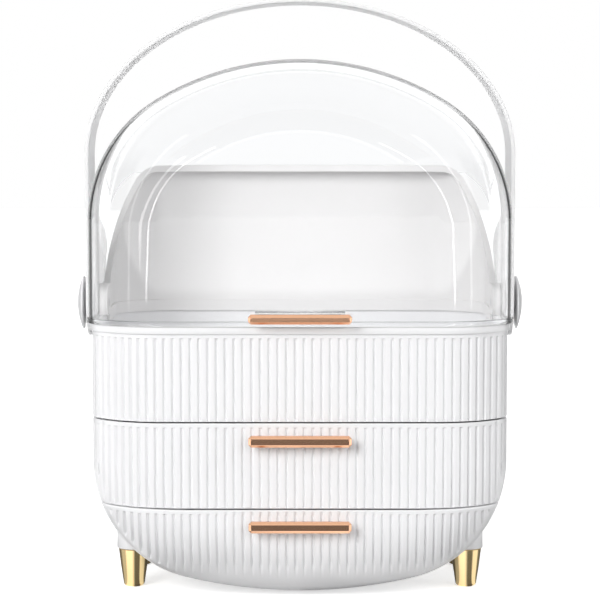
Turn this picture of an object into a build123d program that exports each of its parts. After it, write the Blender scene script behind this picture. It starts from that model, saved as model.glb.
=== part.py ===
from build123d import *
import math
import os

# Makeup organizer: a reeded white housing on four feet with two drawers, a clear lid that swings
# back over a white rear wall, and a carrying strap on the same pivots.
# Lengths are millimetres. X runs across, the front faces -Y and Z goes up from the floor.

# Outline of the body, seen from the front
HALF_WIDTH = 145.0
SIDE_TOP = 262.0
DOME_TOP = 372.0
DOME_RADIUS = 190.0
SIDE_BOTTOM = 95.0
BOWL_BOTTOM = 2.4
BOWL_RADIUS = 345.0

# Depth of the body, and how its front and back round into the outline
HALF_DEPTH = 100.0
BEVEL_WIDTH = 27.5
BEVEL_DEPTH = 25.0
FRONT_RADIUS = 60.0
SIDE_RADIUS = 24.0

# Walls and gaps
WALL = 2.5
TRAY_WALL = 2.0
SLIDE_GAP = 0.9
SEAT_GAP = 0.3
PIN_GAP = 0.05
SEAM = 1.0
LIP_INSET = 4.6

# Heights of the tiers
SHELF_TOP = 66.0
TRAY_FLOOR = 126.6
RIM_TOP = 192.0
RIM_HEIGHT = 5.0
RIM_PROUD = 1.6

# Reeds moulded into the white walls
REED_PITCH = 6.0
VALLEY_WIDTH = 1.6
VALLEY_DEPTH = 0.9
REED_LOW = 18.0
REED_MARGIN = 2.7
REED_TURN = 78.0
CUTTER_REACH = 8.0

# Pivots shared by the lid and the strap
PIVOT_Z = 200.6
PIN_RADIUS = 3.0
EAR_RADIUS = 12.0
WALL_EAR_RADIUS = 14.0
WALL_EAR_DEPTH = 5.5
KNOB_RADIUS = 19.2
KNOB_NECK = 2.8
KNOB_EDGE = 1.2
KNOB_DOME = 4.0
KNOB_HOLE = 2.6
NECK_RADIUS = 7.0
WASHER_RADIUS = 9.0

# Rear wall and the plane that parts it from the lid
REAR_TOP = 297.8
REAR_TOP_Y = 86.0
PARTING_Y = 2.0
PARTING_DROP = 9.0
REAR_SPRING = 212.0
REAR_SIDE_RADIUS = 156.0
REAR_CORNER = 20.0
REAR_RIM = 4.6
REAR_RIM_HEIGHT = 3.0
TONGUE = 6.0
LID_LAP = 5.0

# Clear lid
LID_GAP = 0.4
LID_WALL = 2.5
FLANGE_HEIGHT = 3.5
FLANGE_PROUD = 1.1
FLANGE_END = 16.0
LIP_LENGTH = 61.0
LIP_REACH = 9.0
LIP_HEIGHT = 1.6

# Carrying strap
STRAP_WIDTH = 48.0
STRAP_WALL = 3.0
STRAP_SPRING = 308.0
STRAP_TOP = 418.7
STRAP_SIDE_GAP = 2.6

# Drawers
DRAWER_CUT = 58.0
TRAY_CLEAR = 1.5
TRAY_FRONT_DROP = 2.0
TRAY_THICK = 2.5
SHELF_THICK = 2.0
RAIL_HEIGHT = 2.0
RAIL_WIDTH = 6.0
UPPER_RAIL_X = 103.0
LOWER_RAIL_X = 53.0
LOWER_TRAY_Z = 17.0
RAIL_BACK = 58.0
RAIL_FRONT = 52.0

# Pull bars
BAR_LENGTH = 70.4
BAR_HEIGHT = 8.0
LID_BAR_HEIGHT = 6.8
BAR_THICK = 6.0
BAR_REACH = 12.0
BAR_BEVEL = 1.8
POST_RADIUS = 2.5
POST_SPACING = 54.0
UPPER_BAR_Z = 114.5
LOWER_BAR_Z = 55.3
LID_BAR_Z = 198.4

# Legs
LEG_X = 118.9
LEG_Y = 38.0
FOOT_HEIGHT = 27.7
FOOT_TOP_RADIUS = 11.0
FOOT_BOTTOM_RADIUS = 7.5
FOOT_ROUND = 2.5
COLLAR_RADIUS = 12.0
STUD_RADIUS = 2.5
STUD_LOW = 8.0
STUD_HIGH = 30.0

# Screws and the blocks that take them
SCREW_RADIUS = 1.5
HEAD_RADIUS = 2.5
HEAD_HEIGHT = 1.8
BAR_SCREW_BITE = 8.0
BLOCK_SIZE = 14.0
BLOCK_HEIGHT = 7.0
BLOCK_Y = 45.0
BLOCK_SCREW = 8.0

FAR = 400.0
FULL_TURN = 360.0
LID_OUT = -(LID_GAP + LID_WALL)
PEBBLES = {}


def block(x0, x1, y0, y1, z0, z1):
    """A box from its lowest to its highest corner."""
    box = Box(x1 - x0, y1 - y0, z1 - z0, align=(Align.MIN, Align.MIN, Align.MIN))
    return Pos(x0, y0, z0) * box


def slab(z0, z1, y0=-FAR, y1=FAR):
    """A block as wide as anything, between two heights and two depths."""
    return block(-FAR, FAR, y0, y1, z0, z1)


def arch(half, spring, end, mid_radius):
    """Corner radius and junction points of a three-arc arch between upright sides."""
    up = 1 if end > spring else -1
    rise = abs(end - spring) - mid_radius
    radius = (mid_radius**2 - half**2 - rise**2) / (2 * (mid_radius - half))
    mid_center = Vector(0, end - up * mid_radius)
    corner_center = Vector(half - radius, spring)
    toward = (corner_center - mid_center).normalized()
    joint = mid_center + toward * mid_radius
    turn = math.atan2(up * toward.Y, toward.X) / 2
    corner = corner_center + Vector(radius * math.cos(turn), up * radius * math.sin(turn))
    return radius, joint, corner


def pebble(inset):
    """The whole body form, with every face moved inwards by the inset."""
    if inset in PEBBLES:
        return PEBBLES[inset]
    half = HALF_WIDTH - inset
    top = DOME_TOP - inset
    bottom = BOWL_BOTTOM + inset
    _, high, high_corner = arch(half, SIDE_TOP, top, DOME_RADIUS - inset)
    _, low, low_corner = arch(half, SIDE_BOTTOM, bottom, BOWL_RADIUS - inset)
    outline = [
        Line((half, SIDE_BOTTOM), (half, SIDE_TOP)),
        ThreePointArc((half, SIDE_TOP), (high_corner.X, high_corner.Y), (high.X, high.Y)),
        ThreePointArc((high.X, high.Y), (0, top), (-high.X, high.Y)),
        ThreePointArc((-high.X, high.Y), (-high_corner.X, high_corner.Y), (-half, SIDE_TOP)),
        Line((-half, SIDE_TOP), (-half, SIDE_BOTTOM)),
        ThreePointArc((-half, SIDE_BOTTOM), (-low_corner.X, low_corner.Y), (-low.X, low.Y)),
        ThreePointArc((-low.X, low.Y), (0, bottom), (low.X, low.Y)),
        ThreePointArc((low.X, low.Y), (low_corner.X, low_corner.Y), (half, SIDE_BOTTOM)),
    ]
    depth = HALF_DEPTH - inset
    body = extrude(make_face(Plane.XZ * Curve(outline)), amount=depth, both=True)
    slope = 1 / BEVEL_WIDTH + 1 / BEVEL_DEPTH - math.hypot(1 / BEVEL_WIDTH, 1 / BEVEL_DEPTH)
    shrink = 1 - inset * slope
    for side in (0, -1):
        end = body.faces().sort_by(Axis.Y)[side]
        body = body.chamfer(shrink * BEVEL_WIDTH, shrink * BEVEL_DEPTH, end.edges(), end)
    ring_y = depth - shrink * BEVEL_DEPTH
    body = body.fillet(SIDE_RADIUS - inset, ring_edges(body, ring_y))
    for side in (0, -1):
        body = body.fillet(FRONT_RADIUS - inset, body.faces().sort_by(Axis.Y)[side].edges())
    PEBBLES[inset] = body
    return body


def ring_edges(body, y):
    """The edges that lie flat at this depth, in front and behind."""
    flat = [e for e in body.edges() if e.bounding_box().size.Y < 0.01]
    return [e for e in flat if abs(abs(e.center().Y) - y) < 0.01]


def half_width(z, inset=0.0):
    """Half the width of the body at a height on or below its straight sides."""
    radius, _, _ = arch(HALF_WIDTH, SIDE_BOTTOM, BOWL_BOTTOM, BOWL_RADIUS)
    drop = max(SIDE_BOTTOM - z, 0.0)
    return HALF_WIDTH - radius + math.sqrt((radius - inset) ** 2 - drop**2)


def shell(outer, inner, window):
    """The wall between two insets of the body form, inside a window."""
    return (pebble(outer) & window) - pebble(inner)


def plan_curve():
    """A quarter of the plan outline, from the middle of the front to the middle of a side."""
    corners = [
        (0, -HALF_DEPTH),
        (HALF_WIDTH - BEVEL_WIDTH, -HALF_DEPTH),
        (HALF_WIDTH, -(HALF_DEPTH - BEVEL_DEPTH)),
        (HALF_WIDTH, 0),
    ]
    return FilletPolyline(*corners, radius=[FRONT_RADIUS, SIDE_RADIUS])


def valleys(low, high):
    """Cutters for the valleys between the reeds, right round the body between two heights."""
    path = plan_curve()
    cutters = []
    distance = REED_PITCH / 2
    while distance + VALLEY_WIDTH < path.length:
        start = path.position_at(distance - VALLEY_WIDTH / 2, position_mode=PositionMode.LENGTH)
        stop = path.position_at(distance + VALLEY_WIDTH / 2, position_mode=PositionMode.LENGTH)
        distance += REED_PITCH
        if stop.Y < -REED_TURN:
            cut = block(start.X, stop.X, -HALF_DEPTH - CUTTER_REACH, -REED_TURN, low, high)
        elif start.Y > -REED_TURN:
            cut = block(0, HALF_WIDTH + CUTTER_REACH, start.Y, stop.Y, low, high)
        else:
            continue
        cutters += [cut, mirror(cut, Plane.YZ), mirror(cut, Plane.XZ)]
        cutters.append(mirror(mirror(cut, Plane.YZ), Plane.XZ))
    return Compound(children=cutters) - pebble(VALLEY_DEPTH)


def across(radius, x0, x1, z=PIVOT_Z):
    """A rod along X at the pivots, between two places."""
    rod = Cylinder(radius, x1 - x0, align=(Align.CENTER, Align.CENTER, Align.MIN))
    return Pos(x0, 0, z) * (Rot(0, 90, 0) * rod)


def both_sides(solid):
    """The solid and its mirror image across the middle of the body."""
    return [solid, mirror(solid, Plane.YZ)]


def upright(radius, x, y, z0, z1):
    """An upright rod between two heights."""
    rod = Cylinder(radius, z1 - z0, align=(Align.CENTER, Align.CENTER, Align.MIN))
    return Pos(x, y, z0) * rod


def lengthwise(radius, x, z, y0, y1):
    """A rod along Y between two places."""
    rod = Cylinder(radius, y1 - y0, align=(Align.CENTER, Align.CENTER, Align.MIN))
    return Pos(x, y0, z) * (Rot(-90, 0, 0) * rod)


def screw_spots(z):
    """Places of the four screws that go down into the blocks under a panel at this height."""
    x = half_width(z - BLOCK_HEIGHT) - WALL - BLOCK_SIZE / 2
    return [(sx * x, sy * BLOCK_Y) for sx in (-1, 1) for sy in (-1, 1)]


def down_screws(top, z):
    """Flat-headed screws whose heads end flush with a panel's top face."""
    screws = []
    for x, y in screw_spots(z):
        head = Cone(SCREW_RADIUS, HEAD_RADIUS, HEAD_HEIGHT)
        shank = upright(SCREW_RADIUS, x, y, top - BLOCK_SCREW, top - HEAD_HEIGHT / 2)
        screws.append(Pos(x, y, top - HEAD_HEIGHT / 2) * head + shank)
    return screws


def down_holes(top, z):
    """Countersunk holes for those screws, with their running gap."""
    holes = []
    for x, y in screw_spots(z):
        head = Cone(SCREW_RADIUS + PIN_GAP, HEAD_RADIUS + PIN_GAP, HEAD_HEIGHT)
        shank = upright(SCREW_RADIUS + PIN_GAP, x, y, top - BLOCK_SCREW - PIN_GAP, top)
        holes.append(Pos(x, y, top - HEAD_HEIGHT / 2) * head + shank)
    return holes


def screw_blocks(z):
    """Blocks on the side walls that carry a panel whose underside is at this height."""
    blocks = []
    for x, y in screw_spots(z):
        inner = abs(x) - BLOCK_SIZE / 2
        half = BLOCK_SIZE / 2
        one = block(inner, HALF_WIDTH, y - half, y + half, z - BLOCK_HEIGHT, z) & pebble(WALL / 2)
        blocks.append(one if x > 0 else mirror(one, Plane.YZ))
    return blocks


def upper_tray():
    """The fixed top compartment: reeded wall, floor, rim band and the lip that locates it."""
    inside = pebble(WALL) & slab(TRAY_FLOOR + WALL, RIM_TOP + 1)
    body = (pebble(0) & slab(TRAY_FLOOR, RIM_TOP)) - inside
    body -= valleys(TRAY_FLOOR - 1, RIM_TOP - RIM_HEIGHT - REED_MARGIN)
    band = slab(RIM_TOP - RIM_HEIGHT, RIM_TOP, y1=-FLANGE_END)
    body += shell(-RIM_PROUD, WALL / 2, band)
    lip_room = slab(TRAY_FLOOR - WALL, TRAY_FLOOR + 1, y0=-DRAWER_CUT + 2 * WALL)
    lip = shell(WALL + SEAT_GAP, LIP_INSET, lip_room)
    gap = BLOCK_SIZE / 2 + SEAT_GAP
    for x, y in screw_spots(TRAY_FLOOR):
        lip -= block(x - 2 * gap, x + 2 * gap, y - gap, y + gap, TRAY_FLOOR - 2 * WALL, TRAY_FLOOR)
    body += lip
    return body - down_holes(TRAY_FLOOR + WALL, TRAY_FLOOR)


def drawer_bay():
    """The fixed shell round both drawers: sides, back, bowl, screw blocks and leg collars."""
    body = shell(0, WALL, slab(0, TRAY_FLOOR, y0=-DRAWER_CUT))
    body -= valleys(REED_LOW, SHELF_TOP - SEAM / 2 - REED_MARGIN)
    body -= valleys(SHELF_TOP + SEAM / 2, TRAY_FLOOR - SEAM - REED_MARGIN)
    for z in (TRAY_FLOOR, SHELF_TOP - SHELF_THICK):
        body += screw_blocks(z)
    for x in (-LEG_X, LEG_X):
        for y in (-LEG_Y, LEG_Y):
            collar = upright(COLLAR_RADIUS, x, y, FOOT_HEIGHT, SIDE_BOTTOM)
            body += (collar - pebble(WALL / 2)) & slab(0, collar_top())
            body -= upright(STUD_RADIUS + PIN_GAP, x, y, STUD_LOW, STUD_HIGH + PIN_GAP)
    body -= down_holes(TRAY_FLOOR + WALL, TRAY_FLOOR)
    return body - down_holes(SHELF_TOP, SHELF_TOP - SHELF_THICK)


def collar_top():
    """Height where the outer side of a leg collar meets the bowl."""
    radius, _, _ = arch(HALF_WIDTH, SIDE_BOTTOM, BOWL_BOTTOM, BOWL_RADIUS)
    reach = LEG_X + COLLAR_RADIUS - (HALF_WIDTH - radius)
    return SIDE_BOTTOM - math.sqrt(max(radius**2 - reach**2, 0.0)) + WALL


def middle_shelf():
    """The panel between the drawers, resting on four of the screw blocks."""
    room = slab(SHELF_TOP - SHELF_THICK, SHELF_TOP, y0=-DRAWER_CUT + WALL)
    return (pebble(WALL + SEAT_GAP) & room) - down_holes(SHELF_TOP, SHELF_TOP - SHELF_THICK)


def upper_rails():
    """Two runners on the shelf under the upper drawer."""
    half = RAIL_WIDTH / 2
    low = SHELF_TOP
    rail = block(UPPER_RAIL_X - half, UPPER_RAIL_X + half, -RAIL_FRONT, RAIL_BACK, low, low + RAIL_HEIGHT)
    return both_sides(rail)


def lower_rails():
    """Two runners on the floor of the bowl under the lower drawer."""
    half = RAIL_WIDTH / 2
    top = LOWER_TRAY_Z - SEAT_GAP
    rail = block(LOWER_RAIL_X - half, LOWER_RAIL_X + half, -RAIL_FRONT, RAIL_BACK, 0, top)
    return both_sides(rail & pebble(WALL + SEAT_GAP))


def behind(offset):
    """A block over all that lies behind the parting plane, moved back and down by an offset."""
    start = Vector(PARTING_Y, PIVOT_Z - PARTING_DROP)
    end = Vector(REAR_TOP_Y, REAR_TOP)
    along = (end - start).normalized()
    back = Vector(along.Y, -along.X) * offset
    top = REAR_TOP - offset
    start += back
    end = start + along * ((top - start.Y) / along.Y)
    foot = start - along * EAR_RADIUS
    points = [(foot.X, foot.Y), (end.X, top), (FAR, top), (FAR, 0), (foot.X, 0)]
    face = make_face(Plane.YZ * Polyline(*points, close=True))
    return extrude(face, amount=FAR, both=True)


def swept_form(inset):
    """The body's front outline above the pivots turned round them, moved inwards by the inset."""
    half = HALF_WIDTH - inset
    top = DOME_TOP - inset
    _, high, corner = arch(half, SIDE_TOP, top, DOME_RADIUS - inset)
    outline = [
        Polyline((-half, SIDE_TOP), (-half, PIVOT_Z), (half, PIVOT_Z), (half, SIDE_TOP)),
        ThreePointArc((half, SIDE_TOP), (corner.X, corner.Y), (high.X, high.Y)),
        ThreePointArc((high.X, high.Y), (0, top), (-high.X, high.Y)),
        ThreePointArc((-high.X, high.Y), (-corner.X, corner.Y), (-half, SIDE_TOP)),
    ]
    face = make_face(Plane.XZ * Curve(outline))
    return revolve(face, Axis((0, 0, PIVOT_Z), (1, 0, 0)), FULL_TURN)


def rear_form(inset):
    """The body form inside the rear wall's own outline and clear of the lid's swing."""
    shift = REAR_SIDE_RADIUS - HALF_WIDTH
    side = Circle(REAR_SIDE_RADIUS - inset)
    sides = Pos(-shift, REAR_SPRING) * side & Pos(shift, REAR_SPRING) * side
    half = HALF_WIDTH - inset
    sides += Pos(0, REAR_SPRING) * Rectangle(2 * half, REAR_SPRING, align=(Align.CENTER, Align.MAX))
    top = Rectangle(FAR, REAR_TOP - inset, align=(Align.CENTER, Align.MIN))
    outline = sides & top
    corners = outline.vertices().group_by(Axis.Y)[-1]
    outline = fillet(corners, REAR_CORNER - inset)
    return pebble(inset) & extrude(Plane.XZ * outline, amount=FAR, both=True) & swept_form(inset)


def rear_wall():
    """The white back panel with its thick rim, the ears for the pivots and its locating tongue."""
    above = slab(RIM_TOP, FAR)
    body = (rear_form(0) - rear_form(WALL)) & behind(0) & above
    rim_room = (behind(0) - behind(REAR_RIM_HEIGHT)) & above
    body += (rear_form(0) - rear_form(REAR_RIM)) & rim_room
    start = PARTING_Y + WALL_EAR_RADIUS
    body += shell(0, LIP_INSET, slab(RIM_TOP, RIM_TOP + WALL, y0=start))
    body += shell(WALL + SEAT_GAP, LIP_INSET, slab(RIM_TOP - TONGUE, RIM_TOP + 1, y0=start))
    low = HALF_WIDTH - WALL_EAR_DEPTH
    for one in both_sides(across(WALL_EAR_RADIUS, low, HALF_WIDTH) & above):
        body += one
    for one in both_sides(across(PIN_RADIUS + PIN_GAP, low - 1, HALF_WIDTH + 1)):
        body -= one
    return body


def lid_dome():
    """The clear lid: a shell ahead of the parting plane, its front flange, ears and finger lip."""
    low = RIM_TOP + SEAT_GAP
    body = shell(LID_OUT, -LID_GAP, slab(low, 2 * FAR)) - behind(LID_LAP)
    flange = slab(low, low + FLANGE_HEIGHT, y1=-FLANGE_END)
    body += shell(LID_OUT - FLANGE_PROUD, WALL, flange)
    inner = HALF_WIDTH + LID_GAP
    for one in both_sides(across(EAR_RADIUS, inner, inner + LID_WALL)):
        body += one
    for one in both_sides(across(PIN_RADIUS + PIN_GAP, inner - 1, inner + LID_WALL + 1)):
        body -= one
    face = HALF_DEPTH - LID_OUT
    lip_z = LID_BAR_Z + LID_BAR_HEIGHT / 2 + SEAT_GAP
    half = LIP_LENGTH / 2
    body += block(-half, half, -face - LIP_REACH, -face + LID_WALL / 2, lip_z, lip_z + LIP_HEIGHT)
    return body - bar_holes(LID_BAR_Z, face, LID_WALL)


def bar_holes(z, face, wall):
    """Holes through a wall for the two screws of a pull bar."""
    half = POST_SPACING / 2
    radius = SCREW_RADIUS + PIN_GAP
    return [lengthwise(radius, x, z, -face - 1, -face + wall + 1) for x in (-half, half)]


def pull_bar(z, face, height):
    """A bevelled bar on two posts that stand on the front of a wall."""
    half = BAR_LENGTH / 2
    front = -face - BAR_REACH
    bar = block(-half, half, front, front + BAR_THICK, z - height / 2, z + height / 2)
    bar = chamfer(bar.faces().sort_by(Axis.Y)[0].edges(), BAR_BEVEL)
    for x in (-POST_SPACING / 2, POST_SPACING / 2):
        bar += lengthwise(POST_RADIUS, x, z, front + BAR_THICK / 2, -face)
        bar -= lengthwise(SCREW_RADIUS + PIN_GAP, x, z, -face - BAR_SCREW_BITE - PIN_GAP, -face + 1)
    return bar


def bar_screws(z, face, wall):
    """Pan-headed screws from inside a wall into the posts of its pull bar."""
    screws = []
    inner = -face + wall + PIN_GAP
    for x in (-POST_SPACING / 2, POST_SPACING / 2):
        head = lengthwise(HEAD_RADIUS, x, z, inner, inner + HEAD_HEIGHT)
        head = fillet(head.edges().sort_by(Axis.Y)[-1], HEAD_HEIGHT / 2)
        screws.append(head + lengthwise(SCREW_RADIUS, x, z, -face - BAR_SCREW_BITE, inner))
    return screws


def drawer_front(low, high, bar_z):
    """The reeded front of a drawer, wrapping both corners of the body."""
    body = shell(0, WALL, slab(low, high, y1=-DRAWER_CUT - SEAM / 2))
    body -= valleys(max(low - 1, REED_LOW), high - REED_MARGIN)
    return body - bar_holes(bar_z, HALF_DEPTH, WALL)


def drawer_tray(low, ceiling, front_top, bar_z):
    """The tray of a drawer: low sides that clear the screw blocks, and a raised front wall."""
    gap = WALL + SLIDE_GAP
    high = ceiling - BLOCK_HEIGHT - TRAY_CLEAR
    raised = front_top - TRAY_FRONT_DROP
    room = slab(low, high) + slab(low, raised, y1=-DRAWER_CUT - SEAM / 2)
    inside = pebble(gap + TRAY_WALL) & slab(low + TRAY_THICK, raised + 1)
    tray = (pebble(gap) & room) - inside
    return tray - bar_holes(bar_z, HALF_DEPTH, gap + TRAY_WALL)


def carry_strap():
    """The strap: upright sides, a half-ellipse over the top and round ends at the pivots."""
    inner = HALF_WIDTH - LID_OUT + STRAP_SIDE_GAP
    faces = []
    for half, top in ((inner + STRAP_WALL, STRAP_TOP), (inner, STRAP_TOP - STRAP_WALL)):
        dome = Pos(0, STRAP_SPRING) * Ellipse(half, top - STRAP_SPRING)
        sides = Pos(0, STRAP_SPRING) * Rectangle(2 * half, STRAP_SPRING, align=(Align.CENTER, Align.MAX))
        faces.append(dome + sides)
    band = extrude(Plane.XZ * (faces[0] - faces[1]), amount=STRAP_WIDTH / 2, both=True)
    end = across(STRAP_WIDTH / 2, -FAR, FAR)
    band = band & (end + block(-FAR, FAR, -STRAP_WIDTH, STRAP_WIDTH, PIVOT_Z, 2 * FAR))
    for one in both_sides(across(PIN_RADIUS + PIN_GAP, inner - 1, inner + STRAP_WALL + 1)):
        band -= one
    return band


def strap_outer():
    """Distance from the middle to the outer face of the strap at the pivots."""
    return HALF_WIDTH - LID_OUT + STRAP_SIDE_GAP + STRAP_WALL


def pivot_pins():
    """Pins pressed into the ears, which carry the lid, the strap and the knobs."""
    return both_sides(across(PIN_RADIUS, HALF_WIDTH - WALL_EAR_DEPTH, strap_outer() + KNOB_NECK + KNOB_HOLE))


def spacer_washers():
    """Washers between the lid's ears and the strap."""
    low = HALF_WIDTH - LID_OUT + PIN_GAP
    high = HALF_WIDTH - LID_OUT + STRAP_SIDE_GAP - PIN_GAP
    ring = across(WASHER_RADIUS, low, high) - across(PIN_RADIUS + PIN_GAP, low - 1, high + 1)
    return both_sides(ring)


def pivot_knobs():
    """Domed caps outside the strap, dished behind so that only the neck is near it."""
    start = strap_outer() + SEAT_GAP
    back = strap_outer() + KNOB_NECK
    edge = back + KNOB_EDGE
    neck = [(0, start), (NECK_RADIUS, start), (NECK_RADIUS, back - KNOB_EDGE), (KNOB_RADIUS, back)]
    ball = (KNOB_RADIUS**2 + KNOB_DOME**2) / (2 * KNOB_DOME)
    rise = edge + KNOB_DOME - ball
    halfway = KNOB_RADIUS / 2
    crown = (halfway, rise + math.sqrt(ball**2 - halfway**2))
    profile = [
        Polyline(*neck, (KNOB_RADIUS, edge)),
        ThreePointArc((KNOB_RADIUS, edge), crown, (0, edge + KNOB_DOME)),
        Line((0, edge + KNOB_DOME), (0, start)),
    ]
    knob = revolve(Plane.XZ * make_face(Curve(profile)), Axis.Z)
    knob = Pos(0, 0, PIVOT_Z) * (Rot(0, 90, 0) * knob)
    bore = across(PIN_RADIUS + PIN_GAP, start - 1, strap_outer() + KNOB_NECK + KNOB_HOLE + PIN_GAP)
    return both_sides(knob - bore)


def gold_feet():
    """Four tapered feet, rounded at the floor, each bored for its stud."""
    feet = []
    for x in (-LEG_X, LEG_X):
        for y in (-LEG_Y, LEG_Y):
            foot = Cone(FOOT_BOTTOM_RADIUS, FOOT_TOP_RADIUS, FOOT_HEIGHT)
            foot = Pos(x, y, FOOT_HEIGHT / 2) * foot
            foot = fillet(foot.edges().sort_by(Axis.Z)[0], FOOT_ROUND)
            foot -= pebble(-SEAT_GAP)
            feet.append(foot - upright(STUD_RADIUS + PIN_GAP, x, y, STUD_LOW - PIN_GAP, FOOT_HEIGHT + 1))
    return feet


def foot_studs():
    """Threaded studs between the feet and the leg collars."""
    return [upright(STUD_RADIUS, x, y, STUD_LOW, STUD_HIGH) for x in (-LEG_X, LEG_X) for y in (-LEG_Y, LEG_Y)]


def solids_of(shape):
    """Every solid in a shape or a list of shapes."""
    shapes = shape if isinstance(shape, list) else [shape]
    return [solid for one in shapes for solid in one.solids()]


def make_nodes():
    """Every named piece of the organizer, in the frame of the body."""
    lid_face = HALF_DEPTH - LID_OUT
    drawer_wall = WALL + SLIDE_GAP + TRAY_WALL
    upper_tray_z = SHELF_TOP + RAIL_HEIGHT + SEAT_GAP
    shelf_z = SHELF_TOP - SHELF_THICK
    upper_top = TRAY_FLOOR - SEAM
    lower_top = SHELF_TOP - SEAM / 2
    return {
        "upper_tray": upper_tray(),
        "tray_screws": down_screws(TRAY_FLOOR + WALL, TRAY_FLOOR),
        "drawer_bay": drawer_bay(),
        "middle_shelf": middle_shelf(),
        "shelf_screws": down_screws(SHELF_TOP, shelf_z),
        "upper_rails": upper_rails(),
        "lower_rails": lower_rails(),
        "rear_wall": rear_wall(),
        "pivot_pins": pivot_pins(),
        "spacer_washers": spacer_washers(),
        "pivot_knobs": pivot_knobs(),
        "gold_feet": gold_feet(),
        "foot_studs": foot_studs(),
        "lid_dome": lid_dome(),
        "lid_bar": pull_bar(LID_BAR_Z, lid_face, LID_BAR_HEIGHT),
        "lid_bar_screws": bar_screws(LID_BAR_Z, lid_face, LID_WALL),
        "carry_strap": carry_strap(),
        "upper_drawer_front": drawer_front(SHELF_TOP + SEAM / 2, upper_top, UPPER_BAR_Z),
        "upper_drawer_tray": drawer_tray(upper_tray_z, TRAY_FLOOR, upper_top, UPPER_BAR_Z),
        "upper_drawer_bar": pull_bar(UPPER_BAR_Z, HALF_DEPTH, BAR_HEIGHT),
        "upper_bar_screws": bar_screws(UPPER_BAR_Z, HALF_DEPTH, drawer_wall),
        "lower_drawer_front": drawer_front(0, lower_top, LOWER_BAR_Z),
        "lower_drawer_tray": drawer_tray(LOWER_TRAY_Z, shelf_z, lower_top, LOWER_BAR_Z),
        "lower_drawer_bar": pull_bar(LOWER_BAR_Z, HALF_DEPTH, BAR_HEIGHT),
        "lower_bar_screws": bar_screws(LOWER_BAR_Z, HALF_DEPTH, drawer_wall),
    }


def main():
    """Write one file for each piece, with the floor's origin at the middle of the whole object."""
    os.makedirs("parts", exist_ok=True)
    front_reach = HALF_DEPTH - LID_OUT + BAR_REACH
    back_reach = HALF_DEPTH - LID_OUT
    to_middle = Pos(0, (front_reach - back_reach) / 2, 0)
    for name, shape in make_nodes().items():
        solids = [to_middle * solid for solid in solids_of(shape)]
        export_step(Compound(children=solids), f"parts/{name}.step")
        print(name, len(solids))


main()
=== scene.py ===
"""A makeup organizer: reeded white housing, two drawers, clear swing-back lid and carrying strap.

Lengths are metres. X runs across, the front faces -Y and Z goes up from the floor.
"""
import logging
import math
from contextlib import contextmanager
from dataclasses import dataclass
from enum import Enum
from typing import Iterable, Iterator, Optional

import bpy
from mathutils import Matrix, Vector


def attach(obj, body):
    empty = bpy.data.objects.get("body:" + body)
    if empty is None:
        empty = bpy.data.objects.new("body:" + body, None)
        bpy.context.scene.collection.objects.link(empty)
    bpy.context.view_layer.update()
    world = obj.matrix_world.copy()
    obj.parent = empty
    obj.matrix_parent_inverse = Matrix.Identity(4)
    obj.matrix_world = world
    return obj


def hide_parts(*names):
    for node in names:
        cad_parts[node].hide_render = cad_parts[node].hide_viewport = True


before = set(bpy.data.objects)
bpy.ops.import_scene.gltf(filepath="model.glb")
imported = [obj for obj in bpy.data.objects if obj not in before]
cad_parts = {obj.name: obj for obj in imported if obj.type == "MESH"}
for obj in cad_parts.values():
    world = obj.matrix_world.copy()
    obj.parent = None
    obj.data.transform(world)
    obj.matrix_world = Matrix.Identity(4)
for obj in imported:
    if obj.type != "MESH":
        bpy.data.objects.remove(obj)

LOG = logging.getLogger("organizer")
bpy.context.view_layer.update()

Point = tuple[float, float, float]
Loop = list[Vector]
Pairs = tuple[tuple[float, float], ...]

CORNERS = ((-1.0, -1.0), (-1.0, 1.0), (1.0, -1.0), (1.0, 1.0))
MERGE = 1e-6          # points closer than this become one
HAIR = 1e-4           # a gap or overlap too small to see
ROUND_MIDDLE = 0.3    # where the middle point of a small rounding lies, as a share of its width


class Body(Enum):
    """The moving bodies of the frame."""

    HOUSING = "housing"
    LID = "lid"
    STRAP = "strap"
    UPPER_DRAWER = "upper_drawer"
    LOWER_DRAWER = "lower_drawer"


class End(Enum):
    """Which end of the body's outline is meant."""

    DOME = 1
    BOWL = -1


def smooth_step(value: float) -> float:
    """Rise smoothly from 0 to 1 while the value goes from 0 to 1."""
    t = min(max(value, 0.0), 1.0)
    return t * t * (3.0 - 2.0 * t)


def spread(start: float, stop: float, count: int) -> list[float]:
    """Give evenly spaced values, both ends included.

    Args:
        start: the first value.
        stop: the last value.
        count: how many steps lie between them.

    Returns:
        The count + 1 values.
    """
    return [start + (stop - start) * i / count for i in range(count + 1)]


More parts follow.
